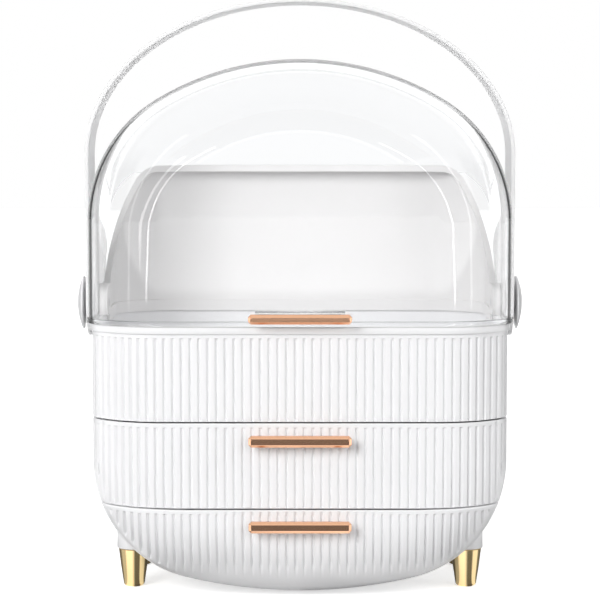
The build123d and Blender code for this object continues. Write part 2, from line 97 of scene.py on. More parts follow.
@dataclass(frozen=True)
class BodyForm:
    """The rounded form of the organizer, from which every wall takes its place."""

    half_width: float = 0.145
    side_top: float = 0.262
    dome_top: float = 0.372
    dome_radius: float = 0.190
    side_bottom: float = 0.095
    bowl_bottom: float = 0.0024
    bowl_radius: float = 0.345
    half_depth: float = 0.100
    bevel_width: float = 0.0275
    bevel_depth: float = 0.025
    front_radius: float = 0.060
    side_radius: float = 0.024
    middle_y: float = 0.006
    reed_turn: float = 0.078

    @property
    def tilt(self) -> float:
        """Angle of the bevel's normal, counted from the side towards the front."""
        return math.atan2(self.bevel_width, self.bevel_depth)

    @property
    def flat_inset(self) -> float:
        """Distance inside the outline at which the front is flat."""
        return self.bevel_width + self.front_radius * math.tan((math.pi / 2 - self.tilt) / 2)

    @property
    def straight_y(self) -> float:
        """Depth to which the sides run straight."""
        return self.half_depth - self.bevel_depth - self.side_radius * math.tan(self.tilt / 2)

    def arcs(self, end: End) -> tuple[float, float, float, float, float, float]:
        """Describe the two arcs at one end of the outline.

        Args:
            end: the dome or the bowl.

        Returns:
            Corner radius, corner centre across and up, middle radius, middle centre up, and the
            angle from level at which the corner arc meets the middle arc.
        """
        dome = end is End.DOME
        mid_radius = self.dome_radius if dome else self.bowl_radius
        spring = self.side_top if dome else self.side_bottom
        tip = self.dome_top if dome else self.bowl_bottom
        rise = abs(tip - spring) - mid_radius
        corner = (mid_radius**2 - self.half_width**2 - rise**2) / (2 * (mid_radius - self.half_width))
        centre_x = self.half_width - corner
        mid_z = tip - end.value * mid_radius
        turn = math.atan2(abs(spring - mid_z), centre_x)
        return corner, centre_x, spring, mid_radius, mid_z, turn

    def bevel_span(self) -> tuple[float, float, float, float]:
        """Give where the flat part of the bevel runs.

        Returns:
            The insets at which it starts and ends, then the depths at which it does.
        """
        small, large, tilt = self.side_radius, self.front_radius, self.tilt
        first = small * (1 - math.cos(tilt))
        second = self.flat_inset - large * math.cos(tilt)
        low = self.straight_y + small * math.sin(tilt)
        high = self.half_depth - large + large * math.sin(tilt)
        return first, second, low, high

    def profile(self, inset: float) -> tuple[float, float]:
        """Give the depth and the normal's angle at a distance inside the outline.

        Args:
            inset: distance inside the outline.

        Returns:
            The depth from the middle, and the angle from the side towards the front.
        """
        small, large = self.side_radius, self.front_radius
        first, second, low, high = self.bevel_span()
        if inset < first:
            angle = math.acos(max(1 - max(inset, 0.0) / small, -1.0))
            return self.straight_y + small * math.sin(angle), angle
        if inset < second:
            share = (inset - first) / (second - first)
            return low + share * (high - low), self.tilt
        if inset < self.flat_inset:
            angle = math.acos((self.flat_inset - inset) / large)
            return self.half_depth - large + large * math.sin(angle), angle
        return self.half_depth, math.pi / 2

    def inset_at(self, depth: float) -> float:
        """Give how far inside the outline the surface lies at a depth.

        Args:
            depth: depth from the middle, to the front or the back.

        Returns:
            The distance inside the outline.
        """
        small, large = self.side_radius, self.front_radius
        first, second, low, high = self.bevel_span()
        depth = abs(depth)
        if depth <= self.straight_y:
            return 0.0
        if depth < low:
            return small * (1 - math.cos(math.asin((depth - self.straight_y) / small)))
        if depth < high:
            return first + (second - first) * (depth - low) / (high - low)
        rise = min((depth - self.half_depth + large) / large, 1.0)
        return self.flat_inset - large * math.cos(math.asin(rise))

    def outline(self, run: float, inset: float, end: End) -> tuple[Vector, Vector]:
        """Give a point of the outline and its outward normal, both in the X-Z plane.

        Args:
            run: length along the outline from the top or foot of the right side. It is negative
                on the straight side and passes the middle to reach the left side.
            inset: distance inside the outline.
            end: the dome or the bowl.

        Returns:
            The point and the normal.
        """
        corner, centre_x, spring, mid_radius, mid_z, turn = self.arcs(end)
        middle = corner * turn + mid_radius * (math.pi / 2 - turn)
        mirror = -1.0 if run > middle else 1.0
        along = 2 * middle - run if run > middle else run
        if along < 0:
            point = Vector((self.half_width - inset, 0, spring + end.value * along))
            normal = Vector((1, 0, 0))
        elif along < corner * turn:
            angle = along / corner
            normal = Vector((math.cos(angle), 0, end.value * math.sin(angle)))
            point = Vector((centre_x, 0, spring)) + normal * (corner - inset)
        else:
            angle = turn + (along - corner * turn) / mid_radius
            normal = Vector((math.cos(angle), 0, end.value * math.sin(angle)))
            point = Vector((0, 0, mid_z)) + normal * (mid_radius - inset)
        return Vector((mirror * point.x, 0, point.z)), Vector((mirror * normal.x, 0, normal.z))

    def half_run(self, end: End) -> float:
        """Length of the outline from the end of the straight side to the middle."""
        corner, _, _, mid_radius, _, turn = self.arcs(end)
        return corner * turn + mid_radius * (math.pi / 2 - turn)

    def inside(self, x: float, z: float) -> tuple[float, Vector]:
        """Give how far a point lies inside the outline, and the outward normal there.

        Args:
            x: distance from the middle.
            z: height.

        Returns:
            The distance inside the outline, and the normal in the X-Z plane.
        """
        side = math.copysign(1.0, x)
        if self.side_bottom <= z <= self.side_top:
            return self.half_width - abs(x), Vector((side, 0, 0))
        end = End.DOME if z > self.side_top else End.BOWL
        corner, centre_x, spring, mid_radius, mid_z, turn = self.arcs(end)
        from_mid = Vector((abs(x), 0, z - mid_z))
        if math.atan2(abs(from_mid.z), from_mid.x) > turn:
            return mid_radius - from_mid.length, Vector((side * from_mid.x, 0, from_mid.z)).normalized()
        away = Vector((abs(x) - centre_x, 0, z - spring))
        return corner - away.length, Vector((side * away.x, 0, away.z)).normalized()

    def edge_z(self, x: float, inset: float, end: End) -> float:
        """Height of the outline, moved in by an inset, at a distance from the middle.

        Args:
            x: distance from the middle.
            inset: distance inside the outline.
            end: the dome or the bowl.

        Returns:
            The height.
        """
        corner, centre_x, spring, mid_radius, mid_z, turn = self.arcs(end)
        x = abs(x)
        if x <= (mid_radius - inset) * math.cos(turn):
            return mid_z + end.value * math.sqrt((mid_radius - inset) ** 2 - x**2)
        reach = (corner - inset) ** 2 - (x - centre_x) ** 2
        return spring + end.value * math.sqrt(max(reach, 0.0))

    def face_point(self, x: float, z: float, out: float, side: float) -> Vector:
        """Give a point of the front or the back, moved out along its normal.

        Args:
            x: distance from the middle.
            z: height.
            out: how far outside the form's own surface the point lies.
            side: -1 on the front, 1 on the back.

        Returns:
            The point.
        """
        inset, outward = self.inside(x, z)
        depth, angle = self.profile(inset)
        normal = outward * math.cos(angle) + Vector((0, side * math.sin(angle), 0))
        return Vector((x, self.middle_y + side * depth, z)) + normal * out

    def rim_point(self, run: float, y: float, out: float, end: End) -> Vector:
        """Give a point of the part of the form that follows its outline, moved out along its normal.

        Args:
            run: length along the outline, as in outline().
            y: depth from the middle, negative in front.
            out: how far outside the form's own surface the point lies.
            end: the dome or the bowl.

        Returns:
            The point.
        """
        inset = self.inset_at(y)
        angle = self.profile(inset)[1] if inset else 0.0
        point, outward = self.outline(run, inset, end)
        normal = outward * math.cos(angle) + Vector((0, math.copysign(math.sin(angle), y), 0))
        return point + Vector((0, self.middle_y + y, 0)) + normal * out

    def station(self, distance: float) -> tuple[float, float]:
        """Give the inset and the depth at a distance along the plan.

        Args:
            distance: distance along the plan, from the middle of the front.

        Returns:
            The distance inside the outline and the depth from the middle.
        """
        small, large, tilt = self.side_radius, self.front_radius, self.tilt
        first, second, low, high = self.bevel_span()
        flat = self.half_width - self.flat_inset
        if distance <= flat:
            return self.half_width - distance, self.half_depth
        rest = distance - flat
        arc = large * (math.pi / 2 - tilt)
        if rest < arc:
            angle = math.pi / 2 - rest / large
            inset = self.flat_inset - large * math.cos(angle)
            return inset, self.half_depth - large + large * math.sin(angle)
        rest -= arc
        line = math.hypot(second - first, high - low)
        if rest < line:
            share = rest / line
            return second + (first - second) * share, high + (low - high) * share
        rest -= line
        if rest < small * tilt:
            angle = tilt - rest / small
            return small * (1 - math.cos(angle)), self.straight_y + small * math.sin(angle)
        return 0.0, self.straight_y - (rest - small * tilt)


@dataclass(frozen=True)
class Reeds:
    """The upright rounded reeds moulded into the white walls."""

    pitch: float = 0.006
    depth: float = 0.0017
    groove: float = 0.0031
    crown: float = 0.00015
    per_reed: int = 12
    margin: float = 0.0027
    end_round: float = 0.0018
    end_rows: tuple[float, ...] = (0.0, 0.08, 0.25, 0.5, 0.8, 1.0, 1.6)
    low: float = 0.018
    fade: float = 0.010
    fade_rows: int = 8

    def hollow(self, distance: float) -> float:
        """How deep the surface lies below the crest, at a distance along the plan.

        Args:
            distance: distance along the plan from a crest's middle.

        Returns:
            The depth.
        """
        away = abs(distance % self.pitch - self.pitch / 2) / (self.groove / 2)
        groove = self.depth * (1.0 + math.cos(math.pi * min(away, 1.0))) / 2
        return groove + self.crown * (1.0 - abs(math.cos(math.pi * distance / self.pitch)))

    def strength(self, z: float, tiers: Iterable[tuple[float, float]]) -> float:
        """Share of the full depth at a height.

        Args:
            z: the height.
            tiers: lowest and highest height of each tier.

        Returns:
            0 on a smooth band, 1 where the reeds have their full depth.
        """
        for low, high in tiers:
            if low <= z <= high:
                reach = min(max((high - self.margin - z) / self.end_round, 0.0), 1.0)
                top = math.sqrt(1.0 - (1.0 - reach) ** 2)
                return top * smooth_step((z - self.low) / self.fade)
        return 0.0


FORM = BodyForm()
REEDS = Reeds()


def select_only(*objects: bpy.types.Object) -> None:
    """Deselect everything, then select these and make the first one active.

    Args:
        objects: what is selected.
    """
    bpy.ops.object.select_all(action="DESELECT")
    for one in objects:
        one.select_set(True)
    bpy.context.view_layer.objects.active = objects[0]


@contextmanager
def editing(piece: bpy.types.Object) -> Iterator[None]:
    """Open a piece in edit mode with all of its mesh selected, and leave edit mode after.

    Args:
        piece: the piece.

    Yields:
        Nothing: the operators in the block act on the piece.
    """
    select_only(piece)
    bpy.ops.object.mode_set(mode="EDIT")
    bpy.ops.mesh.select_all(action="SELECT")
    yield
    bpy.ops.object.mode_set(mode="OBJECT")


def new_piece(name: str, vertices: list[Point], edges: list[tuple[int, int]],
              faces: list[tuple[int, ...]]) -> bpy.types.Object:
    """Make an object from points, edges and faces.

    Args:
        name: name of the new object.
        vertices: the points.
        edges: pairs of points that are joined without a face.
        faces: the points of each face.

    Returns:
        The new object.
    """
    mesh = bpy.data.meshes.new(name)
    mesh.from_pydata(vertices, edges, faces)
    piece = bpy.data.objects.new(name, mesh)
    bpy.context.scene.collection.objects.link(piece)
    return piece


def loft(name: str, sections: list[list[Vector]], around: bool = False) -> bpy.types.Object:
    """Join closed loops of points, one after another, into a closed skin.

    Args:
        name: name of the new object.
        sections: the loops, each with as many points.
        around: whether the last loop joins the first, so that no end is capped.

    Returns:
        The new object.
    """
    count = len(sections[0])
    vertices = [tuple(point) for section in sections for point in section]
    faces: list[tuple[int, ...]] = []
    steps = len(sections) if around else len(sections) - 1
    for i in range(steps):
        here, there = i * count, ((i + 1) % len(sections)) * count
        for j in range(count):
            k = (j + 1) % count
            faces.append((here + j, here + k, there + k, there + j))
    if not around:
        faces.append(tuple(range(count)))
        faces.append(tuple(len(vertices) - 1 - j for j in range(count)))
    return new_piece(name, vertices, [], faces)


def join(name: str, pieces: list[bpy.types.Object]) -> bpy.types.Object:
    """Join pieces into the first one and give it a name.

    Args:
        name: the name.
        pieces: the pieces, of which the first stays.

    Returns:
        The joined piece.
    """
    if len(pieces) > 1:
        select_only(*pieces)
        bpy.ops.object.join()
    pieces[0].name = name
    pieces[0].data.name = name
    return pieces[0]


def tidy(piece: bpy.types.Object, angle: float = 35.0) -> bpy.types.Object:
    """Merge doubled points, turn the faces outwards and shade the piece smooth below an angle.

    Args:
        piece: the piece.
        angle: the angle in degrees.

    Returns:
        The same piece.
    """
    with editing(piece):
        bpy.ops.mesh.remove_doubles(threshold=MERGE)
        bpy.ops.mesh.normals_make_consistent(inside=False)
    bpy.ops.object.shade_smooth_by_angle(angle=math.radians(angle))
    return piece


def even_shading(piece: bpy.types.Object) -> bpy.types.Object:
    """Let the large flat faces keep their own shading beside rounded edges."""
    add_modifier(piece, "WEIGHTED_NORMAL", keep_sharp=True)
    return piece


def apply_place(piece: bpy.types.Object) -> None:
    """Put the object's place, turn and scale into its mesh."""
    select_only(piece)
    bpy.ops.object.transform_apply(location=True, rotation=True, scale=True)


def add_modifier(piece: bpy.types.Object, kind: str, **values: object) -> None:
    """Add a modifier, set its values and apply it.

    Args:
        piece: the piece.
        kind: the modifier's type.
        values: the modifier's settings.
    """
    modifier = piece.modifiers.new(kind.lower(), kind)
    for key, value in values.items():
        setattr(modifier, key, value)
    select_only(piece)
    bpy.ops.object.modifier_apply(modifier=modifier.name)


def turned(name: str, profile: list[tuple[float, float]], centre: Point, axis: str,
           steps: int = 72) -> bpy.types.Object:
    """Spin a profile round an axis.

    Args:
        name: name of the new object.
        profile: radius and distance along the axis, from one end on the axis to the other.
        centre: where the axis starts.
        axis: "X", "-X" or "Z".
        steps: how many faces go round.

    Returns:
        The new object, closed.
    """
    vertices = [(max(radius, 0.0), 0.0, along) for radius, along in profile]
    piece = new_piece(name, vertices, [(i, i + 1) for i in range(len(vertices) - 1)], [])
    with editing(piece):
        bpy.ops.mesh.spin(steps=steps, angle=2 * math.pi, center=(0, 0, 0), axis=(0, 0, 1))
        bpy.ops.mesh.select_all(action="SELECT")
        bpy.ops.mesh.remove_doubles(threshold=MERGE)
    turn = {"X": Matrix.Rotation(math.pi / 2, 4, "Y"), "-X": Matrix.Rotation(-math.pi / 2, 4, "Y")}
    piece.data.transform(Matrix.Translation(centre) @ turn.get(axis, Matrix.Identity(4)))
    return tidy(piece)


def bevelled_box(name: str, low: Point, high: Point, width: float, segments: int) -> bpy.types.Object:
    """Add a box between two corners and round its edges.

    Args:
        name: name of the new object.
        low: lowest corner.
        high: highest corner.
        width: how far the rounding reaches from each edge.
        segments: how many faces make up the rounding.

    Returns:
        The new object.
    """
    middle = [(a + b) / 2 for a, b in zip(low, high)]
    size = [b - a for a, b in zip(low, high)]
    bpy.ops.object.select_all(action="DESELECT")
    bpy.ops.mesh.primitive_cube_add(size=1.0, location=middle, scale=size)
    piece = bpy.context.active_object
    piece.name = name
    apply_place(piece)
    with editing(piece):
        bpy.ops.mesh.bevel(offset=width, segments=segments, affect="EDGES")
    return tidy(piece)


def calc(tree: bpy.types.NodeTree, operation: str, *values: object) -> bpy.types.NodeSocket:
    """Add a maths node.

    Args:
        tree: the node tree.
        operation: what the node does.
        values: a number or a socket for each input.

    Returns:
        The node's result.
    """
    node = tree.nodes.new("ShaderNodeMath")
    node.operation = operation
    for socket, value in zip(node.inputs, values):
        if isinstance(value, bpy.types.NodeSocket):
            tree.links.new(value, socket)
        else:
            socket.default_value = value
    return node.outputs[0]


def graded(tree: bpy.types.NodeTree, value: bpy.types.NodeSocket, low: float, high: float,
           start: float, stop: float) -> bpy.types.NodeSocket:
    """Let a value rise or fall smoothly.

    Args:
        tree: the node tree.
        value: the value that is followed.
        low: where the change starts.
        high: where it ends.
        start: the result up to there.
        stop: the result from there on.

    Returns:
        The result.
    """
    node = tree.nodes.new("ShaderNodeMapRange")
    node.interpolation_type = "SMOOTHSTEP"
    tree.links.new(value, node.inputs["Value"])
    set_inputs(node, {"From Min": low, "From Max": high, "To Min": start, "To Max": stop})
    return node.outputs["Result"]


def masked(tree: bpy.types.NodeTree, mask: bpy.types.NodeSocket, value: object) -> bpy.types.NodeSocket:
    """Give 1 where a mask is 0 and a value where it is 1.

    Args:
        tree: the node tree.
        mask: the mask.
        value: the number or socket that shows where the mask is 1.

    Returns:
        The result.
    """
    return calc(tree, "MULTIPLY_ADD", mask, calc(tree, "SUBTRACT", value, 1.0), 1.0)


def product(tree: bpy.types.NodeTree, first: object, *others: object) -> bpy.types.NodeSocket:
    """Multiply numbers or sockets."""
    for other in others:
        first = calc(tree, "MULTIPLY", first, other)
    return first


def ramp(tree: bpy.types.NodeTree, turn: bpy.types.NodeSocket, stops: Pairs) -> bpy.types.NodeSocket:
    """Give a brightness for each direction round an upright axis.

    Args:
        tree: the node tree.
        turn: the direction in radians, 0 in front.
        stops: direction in degrees and brightness, in order, from -180 to 180.

    Returns:
        The brightness.
    """
    share = calc(tree, "MULTIPLY_ADD", turn, 0.5 / math.pi, 0.5)
    node = tree.nodes.new("ShaderNodeValToRGB")
    tree.links.new(share, node.inputs["Fac"])
    elements = node.color_ramp.elements
    elements[0].position, elements[-1].position = 0.0, 1.0
    for degrees, _ in stops[1:-1]:
        elements.new(0.5 + degrees / 360)
    for element, (_, level) in zip(elements, stops):
        element.color = (level, level, level, 1.0)
    return node.outputs["Color"]


def set_inputs(node: bpy.types.Node, values: dict[str, object]) -> None:
    """Set the values of a node's inputs by their names."""
    for name, value in values.items():
        node.inputs[name].default_value = value


class NodeGroups:
    """Shader node groups that more than one material uses."""

    broad_scale = 9.0
    broad_detail = 2.0
    fine_detail = 3.0

    @classmethod
    def moulding(cls) -> bpy.types.NodeTree:
        """Faint unevenness of moulded or polished surfaces.

        Returns:
            The group, which puts out a value round 0.5 and a height.
        """
        name = "moulded_surface"
        made = bpy.data.node_groups.get(name)
        if made:
            return made
        tree = bpy.data.node_groups.new(name, "ShaderNodeTree")
        for socket, way, kind in (("Scale", "INPUT", "Float"), ("Stretch", "INPUT", "Vector"),
                                  ("Value", "OUTPUT", "Float"), ("Height", "OUTPUT", "Float")):
            tree.interface.new_socket(name=socket, in_out=way, socket_type=f"NodeSocket{kind}")
        start = tree.nodes.new("NodeGroupInput")
        stop = tree.nodes.new("NodeGroupOutput")
        spot = tree.nodes.new("ShaderNodeTexCoord")
        mapping = tree.nodes.new("ShaderNodeMapping")
        broad = tree.nodes.new("ShaderNodeTexNoise")
        fine = tree.nodes.new("ShaderNodeTexNoise")
        set_inputs(broad, {"Scale": cls.broad_scale, "Detail": cls.broad_detail})
        set_inputs(fine, {"Detail": cls.fine_detail})
        for source, output, target, entry in (
                (spot, "Object", mapping, "Vector"), (start, "Stretch", mapping, "Scale"),
                (mapping, "Vector", broad, "Vector"), (mapping, "Vector", fine, "Vector"),
                (start, "Scale", fine, "Scale"), (broad, "Fac", stop, "Value"),
                (fine, "Fac", stop, "Height")):
            tree.links.new(source.outputs[output], target.inputs[entry])
        return tree


@dataclass(frozen=True)
class Finish:
    """A finish that a surface can have, made into a material once."""

    name: str
    color: Point
    shade: Point
    roughness: float
    roughness_swing: float = 0.06
    metallic: float = 0.0
    coat: float = 0.0
    transmission: float = 0.0
    ior: float = 1.49
    specular: float = 0.5
    grain: float = 900.0
    stretch: Point = (1.0, 1.0, 1.0)
    bump: float = 0.02
    clear_shadow: float = 0.0
    light_depth: float = 0.0
    coat_roughness: float = 0.16
    gloss_range: tuple[float, float] = (0.2, 0.8)
    bump_height: float = 0.0002

    def material(self) -> bpy.types.Material:
        """Build the material, or give the one already built.

        Returns:
            The material, with its colour, gloss and surface varied by object coordinates.
        """
        made = bpy.data.materials.get(self.name)
        if made:
            return made
        made = bpy.data.materials.new(self.name)
        made.use_nodes = True
        tree = made.node_tree
        shader = tree.nodes["Principled BSDF"]
        set_inputs(shader, {
            "Metallic": self.metallic, "Coat Weight": self.coat, "Coat Roughness": self.coat_roughness,
            "Transmission Weight": self.transmission, "IOR": self.ior, "Specular IOR Level": self.specular,
        })
        if self.light_depth:
            set_inputs(shader, {"Subsurface Weight": 1.0, "Subsurface Radius": (1.0, 1.0, 1.0),
                                "Subsurface Scale": self.light_depth})
        surface = tree.nodes.new("ShaderNodeGroup")
        surface.node_tree = NodeGroups.moulding()
        set_inputs(surface, {"Scale": self.grain, "Stretch": self.stretch})
        tint = tree.nodes.new("ShaderNodeMix")
        tint.data_type = "RGBA"
        amount, first, second, mixed = tint.inputs[0], tint.inputs[6], tint.inputs[7], tint.outputs[2]
        first.default_value = (*self.shade, 1.0)
        second.default_value = (*self.color, 1.0)
        tree.links.new(surface.outputs["Value"], amount)
        tree.links.new(mixed, shader.inputs["Base Color"])
        gloss = graded(tree, surface.outputs["Value"], *self.gloss_range,
                       self.roughness, self.roughness + self.roughness_swing)
        tree.links.new(gloss, shader.inputs["Roughness"])
        relief = tree.nodes.new("ShaderNodeBump")
        set_inputs(relief, {"Strength": self.bump, "Distance": self.bump_height})
        tree.links.new(surface.outputs["Height"], relief.inputs["Height"])
        tree.links.new(relief.outputs["Normal"], shader.inputs["Normal"])
        if self.clear_shadow:
            paths = tree.nodes.new("ShaderNodeLightPath").outputs
            solid = calc(tree, "MULTIPLY_ADD", paths["Is Shadow Ray"], -self.clear_shadow, 1.0)
            tree.links.new(solid, shader.inputs["Alpha"])
        return made


GLOSS_WHITE = Finish("gloss_white_plastic", (0.86, 0.86, 0.87), (0.85, 0.85, 0.86), 0.29,
                     coat=0.35, bump=0.004)
INNER_WHITE = Finish("inner_white_plastic", (0.82, 0.82, 0.83), (0.80, 0.80, 0.81), 0.36, bump=0.006)
# The rear wall is the body's white plastic, painted a little darker and warmer: painted shade of the covered
# compartment with a faint painted warm reflection.
WALL_WHITE_PAINTED_SHADE = Finish("rear_wall_plastic_painted_shade", (0.82, 0.812, 0.81), (0.81, 0.802, 0.80), 0.32, bump=0.004)
STRAP_WHITE = Finish("strap_white_plastic", (0.865, 0.865, 0.87), (0.855, 0.855, 0.86), 0.38,
                     bump=0.0, light_depth=0.004)
CLEAR = Finish("clear_lid_plastic", (0.995, 0.997, 1.0), (0.98, 0.985, 0.99), 0.015,
               roughness_swing=0.015, transmission=1.0, bump=0.004, clear_shadow=0.93)
ROSE_GOLD = Finish("rose_gold_metal", (0.90, 0.54, 0.35), (0.80, 0.44, 0.27), 0.11,
                   metallic=1.0, grain=700.0, stretch=(0.05, 1.0, 1.0), bump=0.05)
GOLD = Finish("gold_foot_metal", (1.0, 0.80, 0.45), (0.92, 0.69, 0.34), 0.10,
              metallic=1.0, grain=700.0, stretch=(1.0, 1.0, 0.05), bump=0.04)
STEEL = Finish("plain_steel", (0.62, 0.62, 0.64), (0.5, 0.5, 0.52), 0.28,
               metallic=1.0, grain=1200.0, bump=0.05)


def dress(piece: bpy.types.Object, finish: Finish) -> bpy.types.Object:
    """Give every face of a piece one finish.

    Args:
        piece: the piece.
        finish: the finish.

    Returns:
        The same piece.
    """
    piece.data.materials.clear()
    piece.data.materials.append(finish.material())
    return piece


def place(piece: bpy.types.Object, body: Body, slot: str, *nodes: str) -> None:
    """Fasten a piece to its body and hide the CAD nodes that it stands for.

    Args:
        piece: the piece.
        body: the body that it moves with.
        slot: name of its material slot; not used.
        nodes: names of the CAD nodes that it replaces.
    """
    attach(piece, body.value)
    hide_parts(*nodes)
    LOG.info("%s rides on %s: %d faces", piece.name, body.value, len(piece.data.polygons))


@dataclass(frozen=True)
class Wall:
    """A reeded or plain wall of the body between two heights."""

    low: float
    high: float
    thickness: float = 0.0025
    edge: float = 0.0006
    hidden_edge: float = 2e-5
    tiers: Pairs = ()
    row: float = 0.004
    inner_rows: int = 10
    bend_height: float = 0.012
    bowl_fade: float = 0.002
    per_reed: int = REEDS.per_reed

    def bend(self, z: float) -> float:
        """Share of the bowl's own rule for the reeds at a height: 0 on the upright part."""
        return smooth_step((FORM.side_bottom - z) / self.bend_height)

    def heights(self, low: float, high: float) -> list[float]:
        """Heights of the rows from the top down, closer where a reed ends.

        Args:
            low: the lowest height.
            high: the highest height.

        Returns:
            The heights.
        """
        marks = {low, high}
        for bottom, top in self.tiers:
            marks.update(top - REEDS.margin - share * REEDS.end_round for share in REEDS.end_rows)
            marks.update({bottom, bottom - HAIR})
        marks.update(spread(REEDS.low, REEDS.low + REEDS.fade, REEDS.fade_rows))
        marks.update(spread(low, high, max(int((high - low) / self.row), 1)))
        return sorted((z for z in marks if low <= z <= high), reverse=True)

    def face_loop(self, x: float, distance: float, side: float, low: float, high: float) -> Loop:
        """Go once round the wall's section at one distance from the middle.

        Args:
            x: distance from the middle.
            distance: distance along the plan, which sets the place on a reed.
            side: -1 on the front, 1 on the back.
            low: the section's lowest height.
            high: its highest height.

        Returns:
            The points, down the outside and up the inside.
        """
        loop: Loop = []
        soft_low = self.edge if low == self.low else self.hidden_edge
        soft_high = self.edge if high == self.high else self.hidden_edge
        for part in (1.0, ROUND_MIDDLE):
            loop.append(FORM.face_point(x, high - soft_high * (1 - part), -soft_high * part, side))
        fixed = self.heights(self.low, self.high)
        top, bottom = high - soft_high, low + soft_low
        for row in fixed:
            share = (fixed[0] - row) / (fixed[0] - fixed[-1])
            z = min(max(row, bottom), top) if low == self.low else top - share * (top - bottom)
            inset, _ = FORM.inside(x, z)
            upright = smooth_step((inset - FORM.inset_at(FORM.reed_turn)) / self.bowl_fade)
            keep = 1.0 - self.bend(z) * (1.0 - upright)
            out = -REEDS.hollow(distance) * REEDS.strength(z, self.tiers) * keep
            loop.append(FORM.face_point(x, z, out, side))
        for part in (ROUND_MIDDLE, 1.0):
            loop.append(FORM.face_point(x, low + soft_low * (1 - part), -soft_low * part, side))
        for z in spread(low, high, self.inner_rows):
            loop.append(FORM.face_point(x, z, -self.thickness, side))
        return loop

    def face(self, name: str, side: float) -> bpy.types.Object:
        """Build the front or the back of the wall, as far as its corners turn.

        Args:
            name: name of the new object.
            side: -1 for the front, 1 for the back.

        Returns:
            The new object.
        """
        turn_inset = FORM.inset_at(FORM.reed_turn)
        step = REEDS.pitch / self.per_reed
        stations: list[tuple[float, float]] = []
        distance = 0.0
        while FORM.station(distance)[1] >= FORM.reed_turn:
            stations.append((FORM.half_width - FORM.station(distance)[0], distance))
            distance = len(stations) * step
        stations.append((FORM.half_width - turn_inset - MERGE, distance))
        if self.high < FORM.side_bottom:
            corner, centre_x, spring, _, _, _ = FORM.arcs(End.BOWL)
            limit = centre_x + math.sqrt((corner - turn_inset) ** 2 - (spring - self.high) ** 2) - HAIR
            kept = [pair for pair in stations if pair[0] < limit]
            stations = kept + [(limit, kept[-1][1] + step)]
        loops = []
        for x, distance in [(-x, s) for x, s in reversed(stations[1:])] + stations:
            low, high = self.low, self.high
            if low < FORM.side_bottom:
                low = max(low, FORM.edge_z(x, turn_inset, End.BOWL))
            if high > FORM.side_top:
                high = min(high, FORM.edge_z(x, turn_inset, End.DOME))
            loops.append(self.face_loop(x, distance, side, low, high))
        return loft(name, loops)

    def depths(self, start: float, stop: float) -> list[tuple[float, float]]:
        """Sections of a side wall, on the reeds' own steps.

        Args:
            start: the foremost depth.
            stop: the rearmost depth.

        Returns:
            The depth and the plan distance of each section.
        """
        step = REEDS.pitch / self.per_reed
        found: list[tuple[float, float]] = []
        i = 0
        depth = FORM.half_depth
        while depth >= 0.0:
            if depth <= FORM.reed_turn:
                found += [(-depth, i * step), (depth, i * step)]
            i += 1
            depth = FORM.station(i * step)[1]
        kept = sorted(pair for pair in found if start < pair[0] < stop)
        first = (start, kept[0][1]) if kept else (start, 0.0)
        last = (stop, kept[-1][1]) if kept else (stop, 0.0)
        return [first] + kept + [last]


